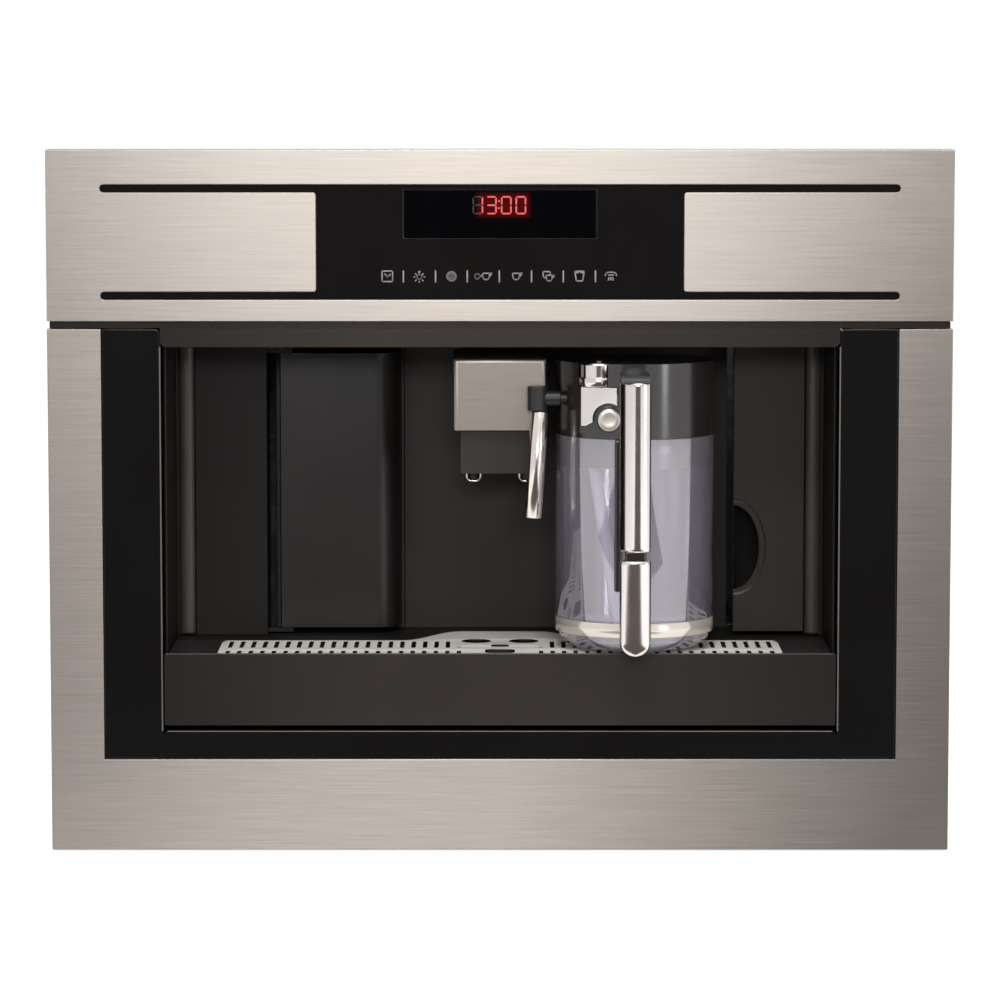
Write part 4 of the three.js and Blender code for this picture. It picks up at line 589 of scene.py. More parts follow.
# painted shade: the paint's colour times the fall towards the ends
tint = add(tree, "VectorMath", {0: middle_tone, "Scale": fall.outputs[0]}, operation="SCALE")
tree.links.new(tint.outputs[0], shader.inputs["Base Color"])
fleck = fine_grain(tree, shader, 0.9 * MM, 0.012 * MM, detail=1.0)
rough_between(tree, shader, fleck.outputs["Fac"], 0.34, 0.46)
rounded("lintel_bar", graphite, 1.2 * MM, 3)

# ------------------------------------------------------------------ cup space lining
# ABS mouldings with a fine spark-eroded texture, grit 0.4 mm drawn 0.8 mm. The ceiling and the
# back wall with the spout's guide are graphite; the side walls, the rear deck and the fixed left
# panel are a matt black that shows almost no reflection.
grit_size, grit_height = 0.8 * MM, 0.02 * MM
dark_abs, tree, shader = finish("textured_graphite_abs", Roughness=0.46, IOR=1.3)
mottle(tree, shader, "#26221e", "#302b27", 120 * MM)
grit = fine_grain(tree, shader, grit_size, grit_height)
rough_between(tree, shader, grit.outputs["Fac"], 0.4, 0.52)
for node in ("cavity_ceiling", "cavity_back"):
    rounded(node, dark_abs, 0.8 * MM)

# Half round bead up each front corner of the lining: ABS moulded smooth; its round face catches the light,
# and its paler colour is a painted highlight.
pale_painted_highlight_abs, tree, shader = finish("satin_abs_painted_highlight", Roughness=0.4, IOR=1.4)
mottle(tree, shader, "#37332f", "#433e3a", 60 * MM)
panel_low, panel_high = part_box("left_panel")
bead_half, bead_rise, bead_steps = 5.0 * MM, 3.2 * MM, 10
bead_gap, bead_low, bead_high = 5.8 * MM, 2 * MM, 0.5 * MM  # from the panel's side, foot and top
for way, word in ((1, "left"), (-1, "right")):
    bm = bmesh.new()
    rings = []
    for z in (panel_low.z + bead_low, panel_high.z - bead_high):
        turns = [math.pi * i / bead_steps for i in range(bead_steps + 1)]
        rings.append([bm.verts.new((way * (panel_low.x - bead_gap) - bead_half * math.cos(a),
                                    panel_low.y - bead_rise * math.sin(a), z)) for a in turns])
    skin(bm, rings)
    name = "corner_bead_" + word
    fit(name, mesh_from(bm, name), pale_painted_highlight_abs, "machine", sharp=60)

deck_abs, tree, shader = finish("textured_black_abs", Roughness=0.5, IOR=1.25)
mottle(tree, shader, "#161412", "#1c1917", 60 * MM)
fine_grain(tree, shader, grit_size, grit_height)
rounded("tray_cradle", deck_abs, 0.6 * MM)
for node in ("cavity_wall_left", "cavity_wall_right", "left_panel"):
    rounded(node, deck_abs, 0.8 * MM)

# ------------------------------------------------------------------ service door
# Door over the brewing unit: one ABS moulding with a wide round right edge, hinged at its left.
# It has a finer texture than the lining and so shows a soft light band down the round edge.
door_abs, tree, shader = finish("satin_graphite_abs", Roughness=0.3, IOR=1.4)
noise = mottle(tree, shader, "#171412", "#1d1a18", 100 * MM)
fine_grain(tree, shader, 0.7 * MM, 0.01 * MM)
rough_between(tree, shader, noise.outputs["Fac"], 0.28, 0.35)
rounded("service_door", door_abs, 0.5 * MM)

# ------------------------------------------------------------------ drip tray
# Painted graphite front with a fine grey line along its top edge, a painted highlight; black moulded
# tub and float, and a stainless grid stamped from 2 mm sheet. The grid's back edge swells in an S
# curve behind two round drain holes; 42 columns of slots in two rows let the water through.
rounded("tray_front", graphite, 0.9 * MM, 3)
tray_low, tray_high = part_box("tray_front")
edge_inset, edge_high, edge_from, edge_to = 1.5 * MM, 0.8 * MM, 0.1 * MM, 0.9 * MM  # the painted highlight line
bm = bmesh.new()
block(bm, (tray_low.x + edge_inset, tray_low.y + edge_from, tray_high.z - edge_high),
      (tray_high.x - edge_inset, tray_low.y + edge_to, tray_high.z))
fit("tray_painted_highlight_line", mesh_from(bm, "tray_painted_highlight_line"), edge_grey, "drip_tray",
    edge=0.2 * MM)
black_abs, tree, shader = finish("black_polypropylene", Roughness=0.45, IOR=1.45)
noise = mottle(tree, shader, "#151313", "#1f1d1c", 60 * MM)
rough_between(tree, shader, noise.outputs["Fac"], 0.38, 0.52)
rounded("tray_basin", black_abs, 0.4 * MM)
rounded("level_float", black_abs, 1.0 * MM)

grid_low, grid_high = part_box("cup_grid")
grid_half, grid_front, grid_sheet = grid_high.x, grid_low.y, grid_high.z - grid_low.z
straight_rear = grid_front + 65.4 * MM
swell_reach = grid_high.y - straight_rear
swell_foot, swell_flat, swell_steps = 66 * MM, 27 * MM, 24
grid_corner = 4 * MM
notch, notch_rows = 1.5 * MM, (9 * MM, 7 * MM, 3 * MM)  # step in the sides, from the straight rear edge
slot_columns = 21
first_slot, last_slot = 27.3 * MM, 6.6 * MM
slot_pitch = (grid_half - last_slot - first_slot) / (slot_columns - 1)
slot_width = 2.8 * MM
front_slots = (2.4 * MM, 14.4 * MM)  # from the grid's front edge
rear_slots = (28.9 * MM, 59.9 * MM)
short_from, short_to = 2 * MM, 6 * MM  # the rear slots beside the float are short
drain_x, drain_y, drain_radius, drain_steps = 16 * MM, 62.4 * MM, 10 * MM, 40
window_half, window_rows, window_corner = 9.8 * MM, (3.4 * MM, 22.4 * MM), 4 * MM  # over the float


def rounded_box(x0, x1, y0, y1, r, steps=5):
    """Closed outline of a rectangle with round corners."""
    r = min(r, (x1 - x0) / 2 - 1e-6, (y1 - y0) / 2 - 1e-6)
    points = []
    for cx, cy, start in ((x1 - r, y1 - r, 0), (x0 + r, y1 - r, 90), (x0 + r, y0 + r, 180),
                          (x1 - r, y0 + r, 270)):
        for i in range(steps + 1):
            a = math.radians(start + 90 * i / steps)
            points.append((cx + r * math.cos(a), cy + r * math.sin(a)))
    return points


def add_line(curve, points, closed=False):
    """Adds one line through points (x, y, z) to a curve."""
    spline = curve.splines.new("POLY")
    spline.points.add(len(points) - 1)
    for point, place in zip(spline.points, points):
        point.co = (*place, 1)
    spline.use_cyclic_u = closed


def mesh_of(curve, name):
    """Mesh of a curve, which is removed."""
    carrier = bpy.data.objects.new(name, curve)
    mesh = bpy.data.meshes.new_from_object(carrier.evaluated_get(bpy.context.evaluated_depsgraph_get()))
    bpy.data.objects.remove(carrier)
    bpy.data.curves.remove(curve)
    return mesh


def plate(name, outlines, thickness, edge):
    """Flat plate with holes in its own x y plane, centred on z = 0, as a bmesh with round edges.

    It is drawn in millimetres, because a curve fills small holes badly, and brought to metres after.
    """
    curve = bpy.data.curves.new(name, "CURVE")
    curve.dimensions, curve.fill_mode = "2D", "BOTH"
    curve.extrude = (thickness / 2 - edge) / MM
    curve.bevel_depth, curve.bevel_resolution, curve.offset = edge / MM, 1, -edge / MM
    for points in outlines:
        add_line(curve, [(x / MM, y / MM, 0) for x, y in points], closed=True)
    mesh = mesh_of(curve, name)
    bm = bmesh.new()
    bm.from_mesh(mesh)
    bmesh.ops.scale(bm, verts=bm.verts, vec=(MM, MM, MM))
    bmesh.ops.remove_doubles(bm, verts=bm.verts, dist=1e-6)
    bpy.data.meshes.remove(mesh)
    return bm


right_side = [  # the right half of the grid's outline, from the front to the swell
    (grid_half - grid_corner, grid_front), (grid_half, grid_front + grid_corner),
    (grid_half, straight_rear - notch_rows[0]), (grid_half - notch, straight_rear - notch_rows[1]),
    (grid_half - notch, straight_rear - notch_rows[2]), (grid_half - grid_corner, straight_rear)]
for i in range(swell_steps + 1):
    share = i / swell_steps
    right_side.append((swell_foot + share * (swell_flat - swell_foot),
                       straight_rear + swell_reach * (1 - math.cos(math.pi * share)) / 2))
outline = right_side + [(-x, y) for x, y in reversed(right_side)]
holes = []
for way in (-1, 1):
    for i in range(slot_columns):
        x = way * (first_slot + i * slot_pitch)
        rear_pair = rear_slots if i else (rear_slots[0] + short_from, rear_slots[0] + short_to)
        for start, end in (rear_pair, front_slots):
            holes.append(rounded_box(x - slot_width / 2, x + slot_width / 2, grid_front + start,
                                     grid_front + end, slot_width / 2))
    turns = [2 * math.pi * i / drain_steps for i in range(drain_steps)]
    holes.append([(way * drain_x + drain_radius * math.cos(a),
                   grid_front + drain_y + drain_radius * math.sin(a)) for a in turns])
holes.append(rounded_box(-window_half, window_half, grid_front + window_rows[0],
                         grid_front + window_rows[1], window_corner))
grid_steel, tree, shader = finish("bead_blasted_stainless_grid", Metallic=0.15, Roughness=0.45)
mottle(tree, shader, "#ece6df", "#f6f1ea", 25 * MM, stretch=(1, 0.4, 1))
fine = add(tree, "TexNoise", {"Vector": place_in(tree, (1 / (20 * MM), 1 / MM, 1)), "Scale": 1.0})
rough_between(tree, shader, fine.outputs["Fac"], 0.42, 0.56)
# painted shade: the walls of the holes are grid steel, coloured dark for the shade inside them
painted_shade_edge, tree, shader = finish("painted_shade_stamped_edge", Metallic=1.0, Roughness=0.5)
mottle(tree, shader, "#26231f", "#35312c", 8 * MM)
bm = plate("cup_grid_formed", [outline, *holes], grid_sheet, 0.25 * MM)
bmesh.ops.translate(bm, verts=bm.verts, vec=(0, 0, (grid_low.z + grid_high.z) / 2))
for face in bm.faces:  # painted shade on the walls of the holes; the outer rim keeps the bright grid colour
    spot = face.calc_center_median()
    inside = abs(spot.x) < grid_half - 2 * MM and grid_front + 1 * MM < spot.y < straight_rear - 1 * MM
    drain = math.hypot(abs(spot.x) - drain_x, spot.y - grid_front - drain_y) < drain_radius + 1 * MM
    face.material_index = 1 if (inside or drain) and abs(face.normal.z) < 0.9 else 0
grid_piece = fit("cup_grid_formed", mesh_from(bm, "cup_grid_formed"), grid_steel, "drip_tray",
                 ("cup_grid",), sharp=35)
grid_piece.data.materials.append(painted_shade_edge)

tab_half, tab_from, tab_to = 6 * MM, 33 * MM, 39.5 * MM  # raised oval edge between the drain holes
tab_corner, tab_edge, tab_thick, tab_rise = 3 * MM, 1.2 * MM, 0.9 * MM, 0.3 * MM
tab_lines = [rounded_box(inset - tab_half, tab_half - inset, grid_front + tab_from + inset,
                         grid_front + tab_to - inset, tab_corner - inset) for inset in (0, tab_edge)]
bm = plate("grid_tab", tab_lines, tab_thick, 0.2 * MM)
bmesh.ops.translate(bm, verts=bm.verts, vec=(0, 0, grid_high.z + tab_rise))
# the tab also takes the dark painted shade colour
fit("grid_tab", mesh_from(bm, "grid_tab"), painted_shade_edge, "drip_tray", sharp=35)

# ------------------------------------------------------------------ coffee spout
# Height adjustable spout: a graphite body on the back wall's guide, a bent stainless cover whose
# vertical edges are folded round, and two chrome rimmed outlets.
bm = solid_of("spout_body")
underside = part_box("spout_body")[0].z
rim_rise, rim_zone = 3.5 * MM, 1 * MM  # the moulding's lower rim is drawn up round the outlets
for v in bm.verts:
    if v.co.z < underside + rim_zone:
        v.co.z += rim_rise
fit("spout_body_formed", mesh_from(bm, "spout_body_formed"), dark_abs, "coffee_spout",
    ("spout_body",), 0.9 * MM, 3)
low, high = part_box("spout_cover")
cover_sheet, cover_bend, cover_edge = 1.6 * MM, 3.6 * MM, 0.7 * MM
satin_steel, tree, shader = finish("satin_stainless_cover", Metallic=1.0, Roughness=0.36)
grain = add(tree, "TexNoise", {"Vector": place_in(tree, (1 / (30 * MM), 1 / (0.8 * MM), 1 / (0.8 * MM))),
                               "Scale": 1.0, "Detail": 3.0})
tint = add(tree, "Mix", {0: grain.outputs["Fac"], 6: lin("#857c76"), 7: lin("#958c86")}, data_type="RGBA")
tree.links.new(tint.outputs[2], shader.inputs["Base Color"])
rough_between(tree, shader, grain.outputs["Fac"], 0.32, 0.4)
bm = bmesh.new()
block(bm, low, high)
open_faces = [f for f in bm.faces if f.normal.z < -0.9 or f.normal.y > 0.9]
bmesh.ops.delete(bm, geom=open_faces, context="FACES")
bends = [e for e in bm.edges if all(abs(v.co.y - low.y) < 1e-6 for v in e.verts) and len(e.link_faces) == 2]
bmesh.ops.bevel(bm, geom=bends, offset=cover_bend, segments=6, profile=0.5, affect="EDGES")
cover = fit("spout_cover_formed", mesh_from(bm, "spout_cover_formed"), satin_steel, "coffee_spout",
            ("spout_cover",), sharp=50)
shell = cover.modifiers.new("sheet", "SOLIDIFY")
shell.thickness, shell.offset = cover_sheet, -1
rim = cover.modifiers.new("edge_radius", "BEVEL")
rim.width, rim.segments, rim.limit_method = cover_edge, 3, "ANGLE"
rim.angle_limit = math.radians(60)
even = cover.modifiers.new("even_normals", "WEIGHTED_NORMAL")
even.keep_sharp = True


def lathe(bm, profile, place=None, segments=96):
    """Turned shape from a closed profile of (radius, height)."""
    start = len(bm.verts)
    loops = []
    for r, z in profile:
        count = 1 if r < 1e-7 else segments
        loops.append([bm.verts.new((r * math.cos(2 * math.pi * i / segments),
                                    r * math.sin(2 * math.pi * i / segments), z)) for i in range(count)])
    closed = profile[0][0] > 1e-7
    pairs = list(zip(loops, loops[1:])) + ([(loops[-1], loops[0])] if closed else [])
    for low_ring, high_ring in pairs:
        for i in range(segments):
            j = (i + 1) % segments
            ring = [low_ring[i % len(low_ring)], low_ring[j % len(low_ring)],
                    high_ring[j % len(high_ring)], high_ring[i % len(high_ring)]]
            bm.faces.new([v for k, v in enumerate(ring) if v not in ring[:k]])
    bm.verts.ensure_lookup_table()
    if place is not None:
        bmesh.ops.transform(bm, matrix=place, verts=bm.verts[start:])
    return bm


# Outlets: black moulded spigots, each with a bright U lip round its front. Chrome on ABS: a mirror
# with a faint warm tone.
chrome, tree, shader = finish("chrome_plated_abs", Metallic=1.0, Roughness=0.09)
noise = mottle(tree, shader, "#c6bfbe", "#d6d0ce", 15 * MM)
rough_between(tree, shader, noise.outputs["Fac"], 0.1, 0.17)
bore, spigot_wall, collar_height = 3 * MM, 1.15 * MM, 3.5 * MM
lip_half, lip_height, lip_bend, lip_sunk, lip_steps = 0.75 * MM, 8 * MM, 3.2 * MM, 0.8 * MM, 8
for node in ("nozzle_left", "nozzle_right"):
    low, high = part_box(node)
    middle_x, radius = (low.x + high.x) / 2, (high.x - low.x) / 2
    rim_top, spigot = low.z + collar_height, radius - spigot_wall
    profile = [(bore + 0.8 * MM, low.z + 0.8 * MM), (radius - 1.8 * MM, low.z + 0.8 * MM),
               (radius - 1.2 * MM, low.z + 1.6 * MM), (radius - 0.8 * MM, rim_top), (spigot, rim_top),
               (spigot, high.z), (bore, high.z), (bore, low.z + 1.6 * MM)]
    bm = lathe(bmesh.new(), profile, Matrix.Translation((middle_x, (low.y + high.y) / 2, 0)), 48)
    fit(node + "_formed", mesh_from(bm, node + "_formed"), black_abs, "coffee_spout",
        (node,), sharp=40)
    lip = bpy.data.curves.new(node + "_lip", "CURVE")
    lip.dimensions, lip.bevel_depth, lip.bevel_resolution, lip.use_fill_caps = "3D", lip_half, 3, True
    reach = radius - lip_half
    turns = [math.pi / 2 * i / lip_steps for i in range(lip_steps + 1)]
    half_path = [(reach, lip_height)] + [(reach - lip_bend * (1 - math.cos(a)),
                                          lip_half + lip_bend * (1 - math.sin(a))) for a in turns]
    path = half_path + [(-x, z) for x, z in reversed(half_path)]
    add_line(lip, [(middle_x + x, low.y + lip_sunk, low.z + z) for x, z in path])
    mesh = mesh_of(lip, node + "_lip")
    mesh.name = node + "_lip"
    mesh.shade_smooth()
    fit(node + "_lip", mesh, chrome, "coffee_spout", (node,))

# ------------------------------------------------------------------ milk jug
# Clear copolyester container with a violet tint on a pearl coloured base ring, closed by a black
# frothing lid. It is turned around one upright axis; its sizes are radii and heights above the foot.
jug_low, jug_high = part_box("jug_container")
jug_middle = (jug_low + jug_high) / 2
jug_at = Matrix.Translation((jug_middle.x, jug_middle.y, jug_low.z))
jug_radius = (jug_high.x - jug_low.x) / 2
jug_seam = jug_high.z - jug_low.z
lid_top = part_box("jug_lid")[1].z - jug_low.z
jug_wall, ring_wall, fit_gap = 2.4 * MM, 1.8 * MM, 0.1 * MM
ring_low, ring_high = (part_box("jug_base_ring")[i].z - jug_low.z for i in (0, 1))
waist, jug_inner = jug_radius - ring_wall - fit_gap, jug_radius - jug_wall
foot, foot_floor = 38 * MM, 3.4 * MM
profile = [  # up the outside and down the inside
    (0, 1.2 * MM), (foot - 9 * MM, 1.0 * MM), (foot - 6 * MM, 0), (foot, 0), (foot + 3.5 * MM, 0.5 * MM),
    (foot + 7 * MM, 1.9 * MM), (jug_radius - 5 * MM, 4.4 * MM), (jug_radius - 3 * MM, 7.4 * MM),
    (waist, ring_low - fit_gap), (waist, ring_high + fit_gap),
    (jug_radius - 0.3 * MM, ring_high + fit_gap), (jug_radius, ring_high + 0.5 * MM),
    (jug_radius, jug_seam - 0.4 * MM), (jug_radius - 0.4 * MM, jug_seam),
    (jug_inner + 0.4 * MM, jug_seam), (jug_inner, jug_seam - 0.4 * MM), (jug_inner, ring_high + 6 * MM),
    (jug_inner - 0.8 * MM, ring_high + 2 * MM), (jug_inner - 2 * MM, ring_high - 1.5 * MM),
    (jug_inner - 2.6 * MM, ring_low + 1 * MM), (jug_inner - 5 * MM, ring_low - 4 * MM),
    (foot - 1 * MM, foot_floor), (0, foot_floor)]
jug_clear, tree, shader = finish("tinted_clear_copolyester", Roughness=0.05, IOR=1.56,
                                 Transmission_Weight=0.9, Coat_Weight=1.0, Coat_IOR=1.7,
                                 Coat_Roughness=0.05)
noise = mottle(tree, shader, "#e0dae8", "#eae5f0", 70 * MM)
rough_between(tree, shader, noise.outputs["Fac"], 0.03, 0.08)
fit("jug_container_formed", mesh_from(lathe(bmesh.new(), profile), "jug_container_formed"), jug_clear,
    "milk_jug", ("jug_container",), place=jug_at, sharp=40)

ring_profile = [(jug_radius - ring_wall, ring_low), (jug_radius - 0.3 * MM, ring_low),
                (jug_radius, ring_low + 0.3 * MM), (jug_radius, ring_high - 0.3 * MM),
                (jug_radius - 0.3 * MM, ring_high), (jug_radius - ring_wall, ring_high)]
pearl, tree, shader = finish("pearl_cream_abs", Metallic=0.5, Roughness=0.14)
noise = mottle(tree, shader, "#cbc2b9", "#dbd2c9", 18 * MM)
rough_between(tree, shader, noise.outputs["Fac"], 0.1, 0.18)
fit("jug_base_ring_formed", mesh_from(lathe(bmesh.new(), ring_profile), "jug_base_ring_formed"), pearl,
    "milk_jug", ("jug_base_ring",), place=jug_at)

# Lid: black ABS with a polished face, blocks for the froth controls and the steam socket.
lid_black, tree, shader = finish("polished_black_abs", Roughness=0.16, IOR=1.6)
noise = mottle(tree, shader, "#1b1817", "#282423", 45 * MM)
rough_between(tree, shader, noise.outputs["Fac"], 0.12, 0.22)
rounded("jug_lid", lid_black, 0.5 * MM)

# Intake tube: milky polypropylene, leaning from the lid's froth block to the jug's floor.
intake_top = jug_at @ Vector((-30.5 * MM, -24 * MM, jug_seam + 1.4 * MM))
intake_radius, intake_bore, intake_length = 4 * MM, 2.6 * MM, jug_seam - 12 * MM
intake_lean = math.radians(-9.1)
profile = [(intake_bore, -intake_length), (intake_radius, -intake_length),
           (intake_radius, 0), (intake_bore, 0)]
milky, tree, shader = finish("milky_polypropylene", Roughness=0.3, IOR=1.49)
mottle(tree, shader, "#ece8ee", "#f6f3f7", 30 * MM)
bm = lathe(bmesh.new(), profile, segments=40)
fit("intake_tube_formed", mesh_from(bm, "intake_tube_formed"), milky, "milk_jug",
    ("intake_tube",), edge=0.3 * MM,
    place=Matrix.Translation(intake_top) @ Matrix.Rotation(intake_lean, 4, "Y"))

# Handle: two chrome plated bars on black arms. The upper bar hangs from an arm at the lid's top,
# the lower one is joined to the container by a web, and a dark oval joint sits between them.
upper_box, lower_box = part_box("handle_upper"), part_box("handle_lower")
web_x = (upper_box[0].x + upper_box[1].x) / 2
grip_x, grip_half, grip_depth = web_x - 3.6 * MM, 10.1 * MM, 12 * MM  # the bars stand left of the web
handle_front = upper_box[0].y
handle_back = handle_front + grip_depth
upper_bottom, upper_top = jug_low.z + 72.2 * MM, jug_low.z + 182.4 * MM
lower_bottom, lower_top = lower_box[0].z, lower_box[1].z
jug_back = jug_at.translation.y - jug_radius + 1.5 * MM  # where arm and web end inside the jug's front
back_chamfer = 1.2 * MM


def bar_section(left_arcs, right_arcs, front, back, steps=8):
    """Cross-section of a bar: arcs (radius, end angle) from the crest to each side, then a flat back."""
    sides = []
    for arcs in (left_arcs, right_arcs):
        x, y, start = 0.0, front, 0.0
        side = [(x, y)]
        for radius, end in arcs:
            for i in range(1, steps + 1):
                a = math.radians(start + (end - start) * i / steps)
                side.append((x + radius * MM * (math.sin(a) - math.sin(math.radians(start))),
                             y + radius * MM * (math.cos(math.radians(start)) - math.cos(a))))
            x, y = side[-1]
            start = end
        side += [(x, back - back_chamfer), (x - back_chamfer, back)]
        sides.append(side)
    return [(-x, y) for x, y in reversed(sides[0])] + sides[1][1:]


def upright(bm, section, stations, crest_x):
    """Skin over one section at several heights: each station is (z, scale in x, scale in y)."""
    ys = [y for _, y in section]
    middle = (min(ys) + max(ys)) / 2
    rings = [[bm.verts.new((crest_x + x * wide, middle + (y - middle) * deep, z)) for x, y in section]
             for z, wide, deep in stations]
    return skin(bm, rings)


crest_right = 1.6 * MM  # the upper bar's crest lies right of its middle, before a wide left flank
left_arcs = [(12.3, 12), (8.5, 44), (26, 61), (3, 90)]  # millimetres and degrees
right_arcs = [(12.3, 30), (4.4, 90)]
lower_arcs = [(23.6, 17), (4.6, 90)]
cut_end = [(0, 0.93, 0.9), (0.5, 0.98, 0.97), (1.2, 1, 1), (2.4, 1, 1)]  # mm in, width, depth
section = bar_section(left_arcs, right_arcs, handle_front, handle_back)
stations = [(upper_bottom + z * MM, wide, deep) for z, wide, deep in cut_end]
stations += [(upper_top - z * MM, wide, deep) for z, wide, deep in reversed(cut_end)]
bm = upright(bmesh.new(), section, stations, grip_x + crest_right)
fit("handle_upper_bar", mesh_from(bm, "handle_upper_bar"), chrome, "milk_jug",
    ("handle_upper",), sharp=55)

arm_depth, arm_half, arm_front = 15 * MM, 0.92 * grip_half, handle_front + 0.8 * MM
arm_top, hook_length, hook_slope, hook_gap = upper_box[1].z, 12 * MM, 1.5 * MM, 0.2 * MM
arm_side, dome, dome_steps = [], arm_top - upper_top, 8  # side view (y, z), dome over the bar's top
for i in range(dome_steps + 1):
    a = math.radians(180 - 90 * i / dome_steps)
    arm_side.append((arm_front + dome * (1 + math.cos(a)), arm_top - dome + dome * math.sin(a)))
arm_side += [(jug_back, arm_top), (jug_back, arm_top - arm_depth),
             (handle_back + hook_slope, arm_top - arm_depth),
             (handle_back - hook_gap, upper_top - hook_length),
             (handle_back - hook_gap, upper_top - hook_gap), (arm_front, upper_top - hook_gap)]
bm = bmesh.new()
skin(bm, [[bm.verts.new((grip_x + way * arm_half, y, z)) for y, z in arm_side] for way in (1, -1)])
fit("handle_arm", mesh_from(bm, "handle_arm"), black_abs, "milk_jug", ("handle_upper",),
    edge=3.2 * MM, steps=5, angle=50)

section = bar_section(lower_arcs, lower_arcs, handle_front, handle_back)
round_end, round_steps, flat_end = 8 * MM, 8, 0.18  # the foot is half round and a little flatter
stations = []
for i in range(round_steps + 1):
    a = math.pi / 2 * i / round_steps
    wide = 1 - (round_end / grip_half) * (1 - math.sin(a))
    stations.append((lower_bottom + round_end * (1 - math.cos(a)), wide, 1 - flat_end * (1 - math.sin(a))))
stations.append((lower_bottom + round_end + 1.5 * MM, 1, 1))
stations += [(lower_top - z * MM, wide, deep) for z, wide, deep in reversed(cut_end)]
bm = upright(bmesh.new(), section, stations, grip_x)
fit("handle_lower_bar", mesh_from(bm, "handle_lower_bar"), chrome, "milk_jug",
    ("handle_lower",), sharp=55)

web_half, web_low, web_high = 5 * MM, jug_low.z + 24 * MM, jug_low.z + 46 * MM
joint_half, joint_sunk, joint_lap = 7 * MM, 2 * MM, 1 * MM
rail_left, rail_right, rail_half = web_x - 16.5 * MM, web_x - 11.5 * MM, 3 * MM  # guides the jug in
rail_low, rail_high = jug_low.z + 42 * MM, jug_high.z
bm = bmesh.new()
block(bm, (web_x - web_half, handle_back - 1 * MM, web_low), (web_x + web_half, jug_back, web_high))
block(bm, (grip_x - joint_half, handle_front + joint_sunk, lower_top - joint_lap),
      (grip_x + joint_half, handle_back - joint_sunk, upper_bottom + joint_lap))
block(bm, (rail_left, jug_back - rail_half, rail_low), (rail_right, jug_back + rail_half, rail_high))
fit("handle_joint_and_web", mesh_from(bm, "handle_joint_and_web"), lid_black, "milk_jug",
    ("handle_lower",), edge=1.5 * MM, steps=4)

# Froth controls: chrome trim plate with a bite around the round cleaning button, the froth knob
# standing in the trim, and the satin button itself in a dark collar.
rounded("froth_trim", chrome, 0.7 * MM, 3)
knob_low, knob_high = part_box("froth_knob")
knob_x, knob_y = (knob_low.x + knob_high.x) / 2, (knob_low.y + knob_high.y) / 2
knob_radius = (knob_high.x - knob_low.x) / 2 - 1 * MM
knob_foot, knob_top = jug_low.z + 177 * MM, jug_low.z + lid_top
skirt, skirt_top = knob_radius + 1 * MM, knob_foot + 6 * MM
bar_half, stem_radius = 1.5 * MM, 3 * MM  # grip bar on top, stem down into the lid
profile = [
    (0, knob_foot), (skirt - 0.3 * MM, knob_foot), (skirt, knob_foot + 0.4 * MM),
    (skirt, skirt_top - 0.6 * MM), (skirt - 0.4 * MM, skirt_top), (knob_radius, skirt_top),
    (knob_radius, knob_top - 1 * MM), (knob_radius - 1 * MM, knob_top), (0, knob_top)]
stem = [(0, knob_low.z), (stem_radius, knob_low.z), (stem_radius, knob_foot + 0.5 * MM),
        (0, knob_foot + 0.5 * MM)]
bm = lathe(bmesh.new(), profile, segments=72)
block(bm, (-bar_half, 1 * MM - knob_radius, knob_top - 1 * MM),
      (bar_half, knob_radius - 1 * MM, knob_high.z))
lathe(bm, stem, segments=24)
fit("froth_knob_formed", mesh_from(bm, "froth_knob_formed"), chrome, "knob",
    ("froth_knob",), place=Matrix.Translation((knob_x, knob_y, 0)), sharp=40)

button_low, button_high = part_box("clean_button")
button_x, button_z = (button_low.x + button_high.x) / 2, (button_low.z + button_high.z) / 2
button_radius, button_length = (button_high.x - button_low.x) / 2, button_high.y - button_low.y
facing = Matrix.Rotation(math.radians(90), 4, "X")  # the profile's height points at the viewer
profile = [(0, 0), (button_radius, 0), (button_radius, button_length - 1.2 * MM),
           (button_radius - 0.5 * MM, button_length - 0.3 * MM), (button_radius - 1.4 * MM, button_length),
           (0.5 * button_radius, button_length - 0.3 * MM), (0, button_length - 0.4 * MM)]
satin, tree, shader = finish("satin_beige_chrome", Metallic=0.7, Roughness=0.32)
mottle(tree, shader, "#bdb7b0", "#cdc7c1", 6 * MM)
fit("clean_button_formed", mesh_from(lathe(bmesh.new(), profile, facing, 56), "clean_button_formed"),
    satin, "button", ("clean_button",),
    place=Matrix.Translation((button_x, button_high.y, button_z)), sharp=50)
collar_in, collar_out, collar_rise = button_radius + 0.25 * MM, button_radius + 1.3 * MM, 1.4 * MM
collar = [(collar_in, 0), (collar_out, 0), (collar_out - 0.1 * MM, collar_rise),
          (collar_in + 0.25 * MM, collar_rise)]
aside = button_x - jug_at.translation.x  # the collar seats on the round jug wall
collar_y = jug_at.translation.y - math.sqrt(jug_radius ** 2 - aside ** 2) + 0.4 * MM
fit("button_collar", mesh_from(lathe(bmesh.new(), collar, facing, 56), "button_collar"), lid_black,
    "milk_jug", place=Matrix.Translation((button_x, collar_y, button_z)))

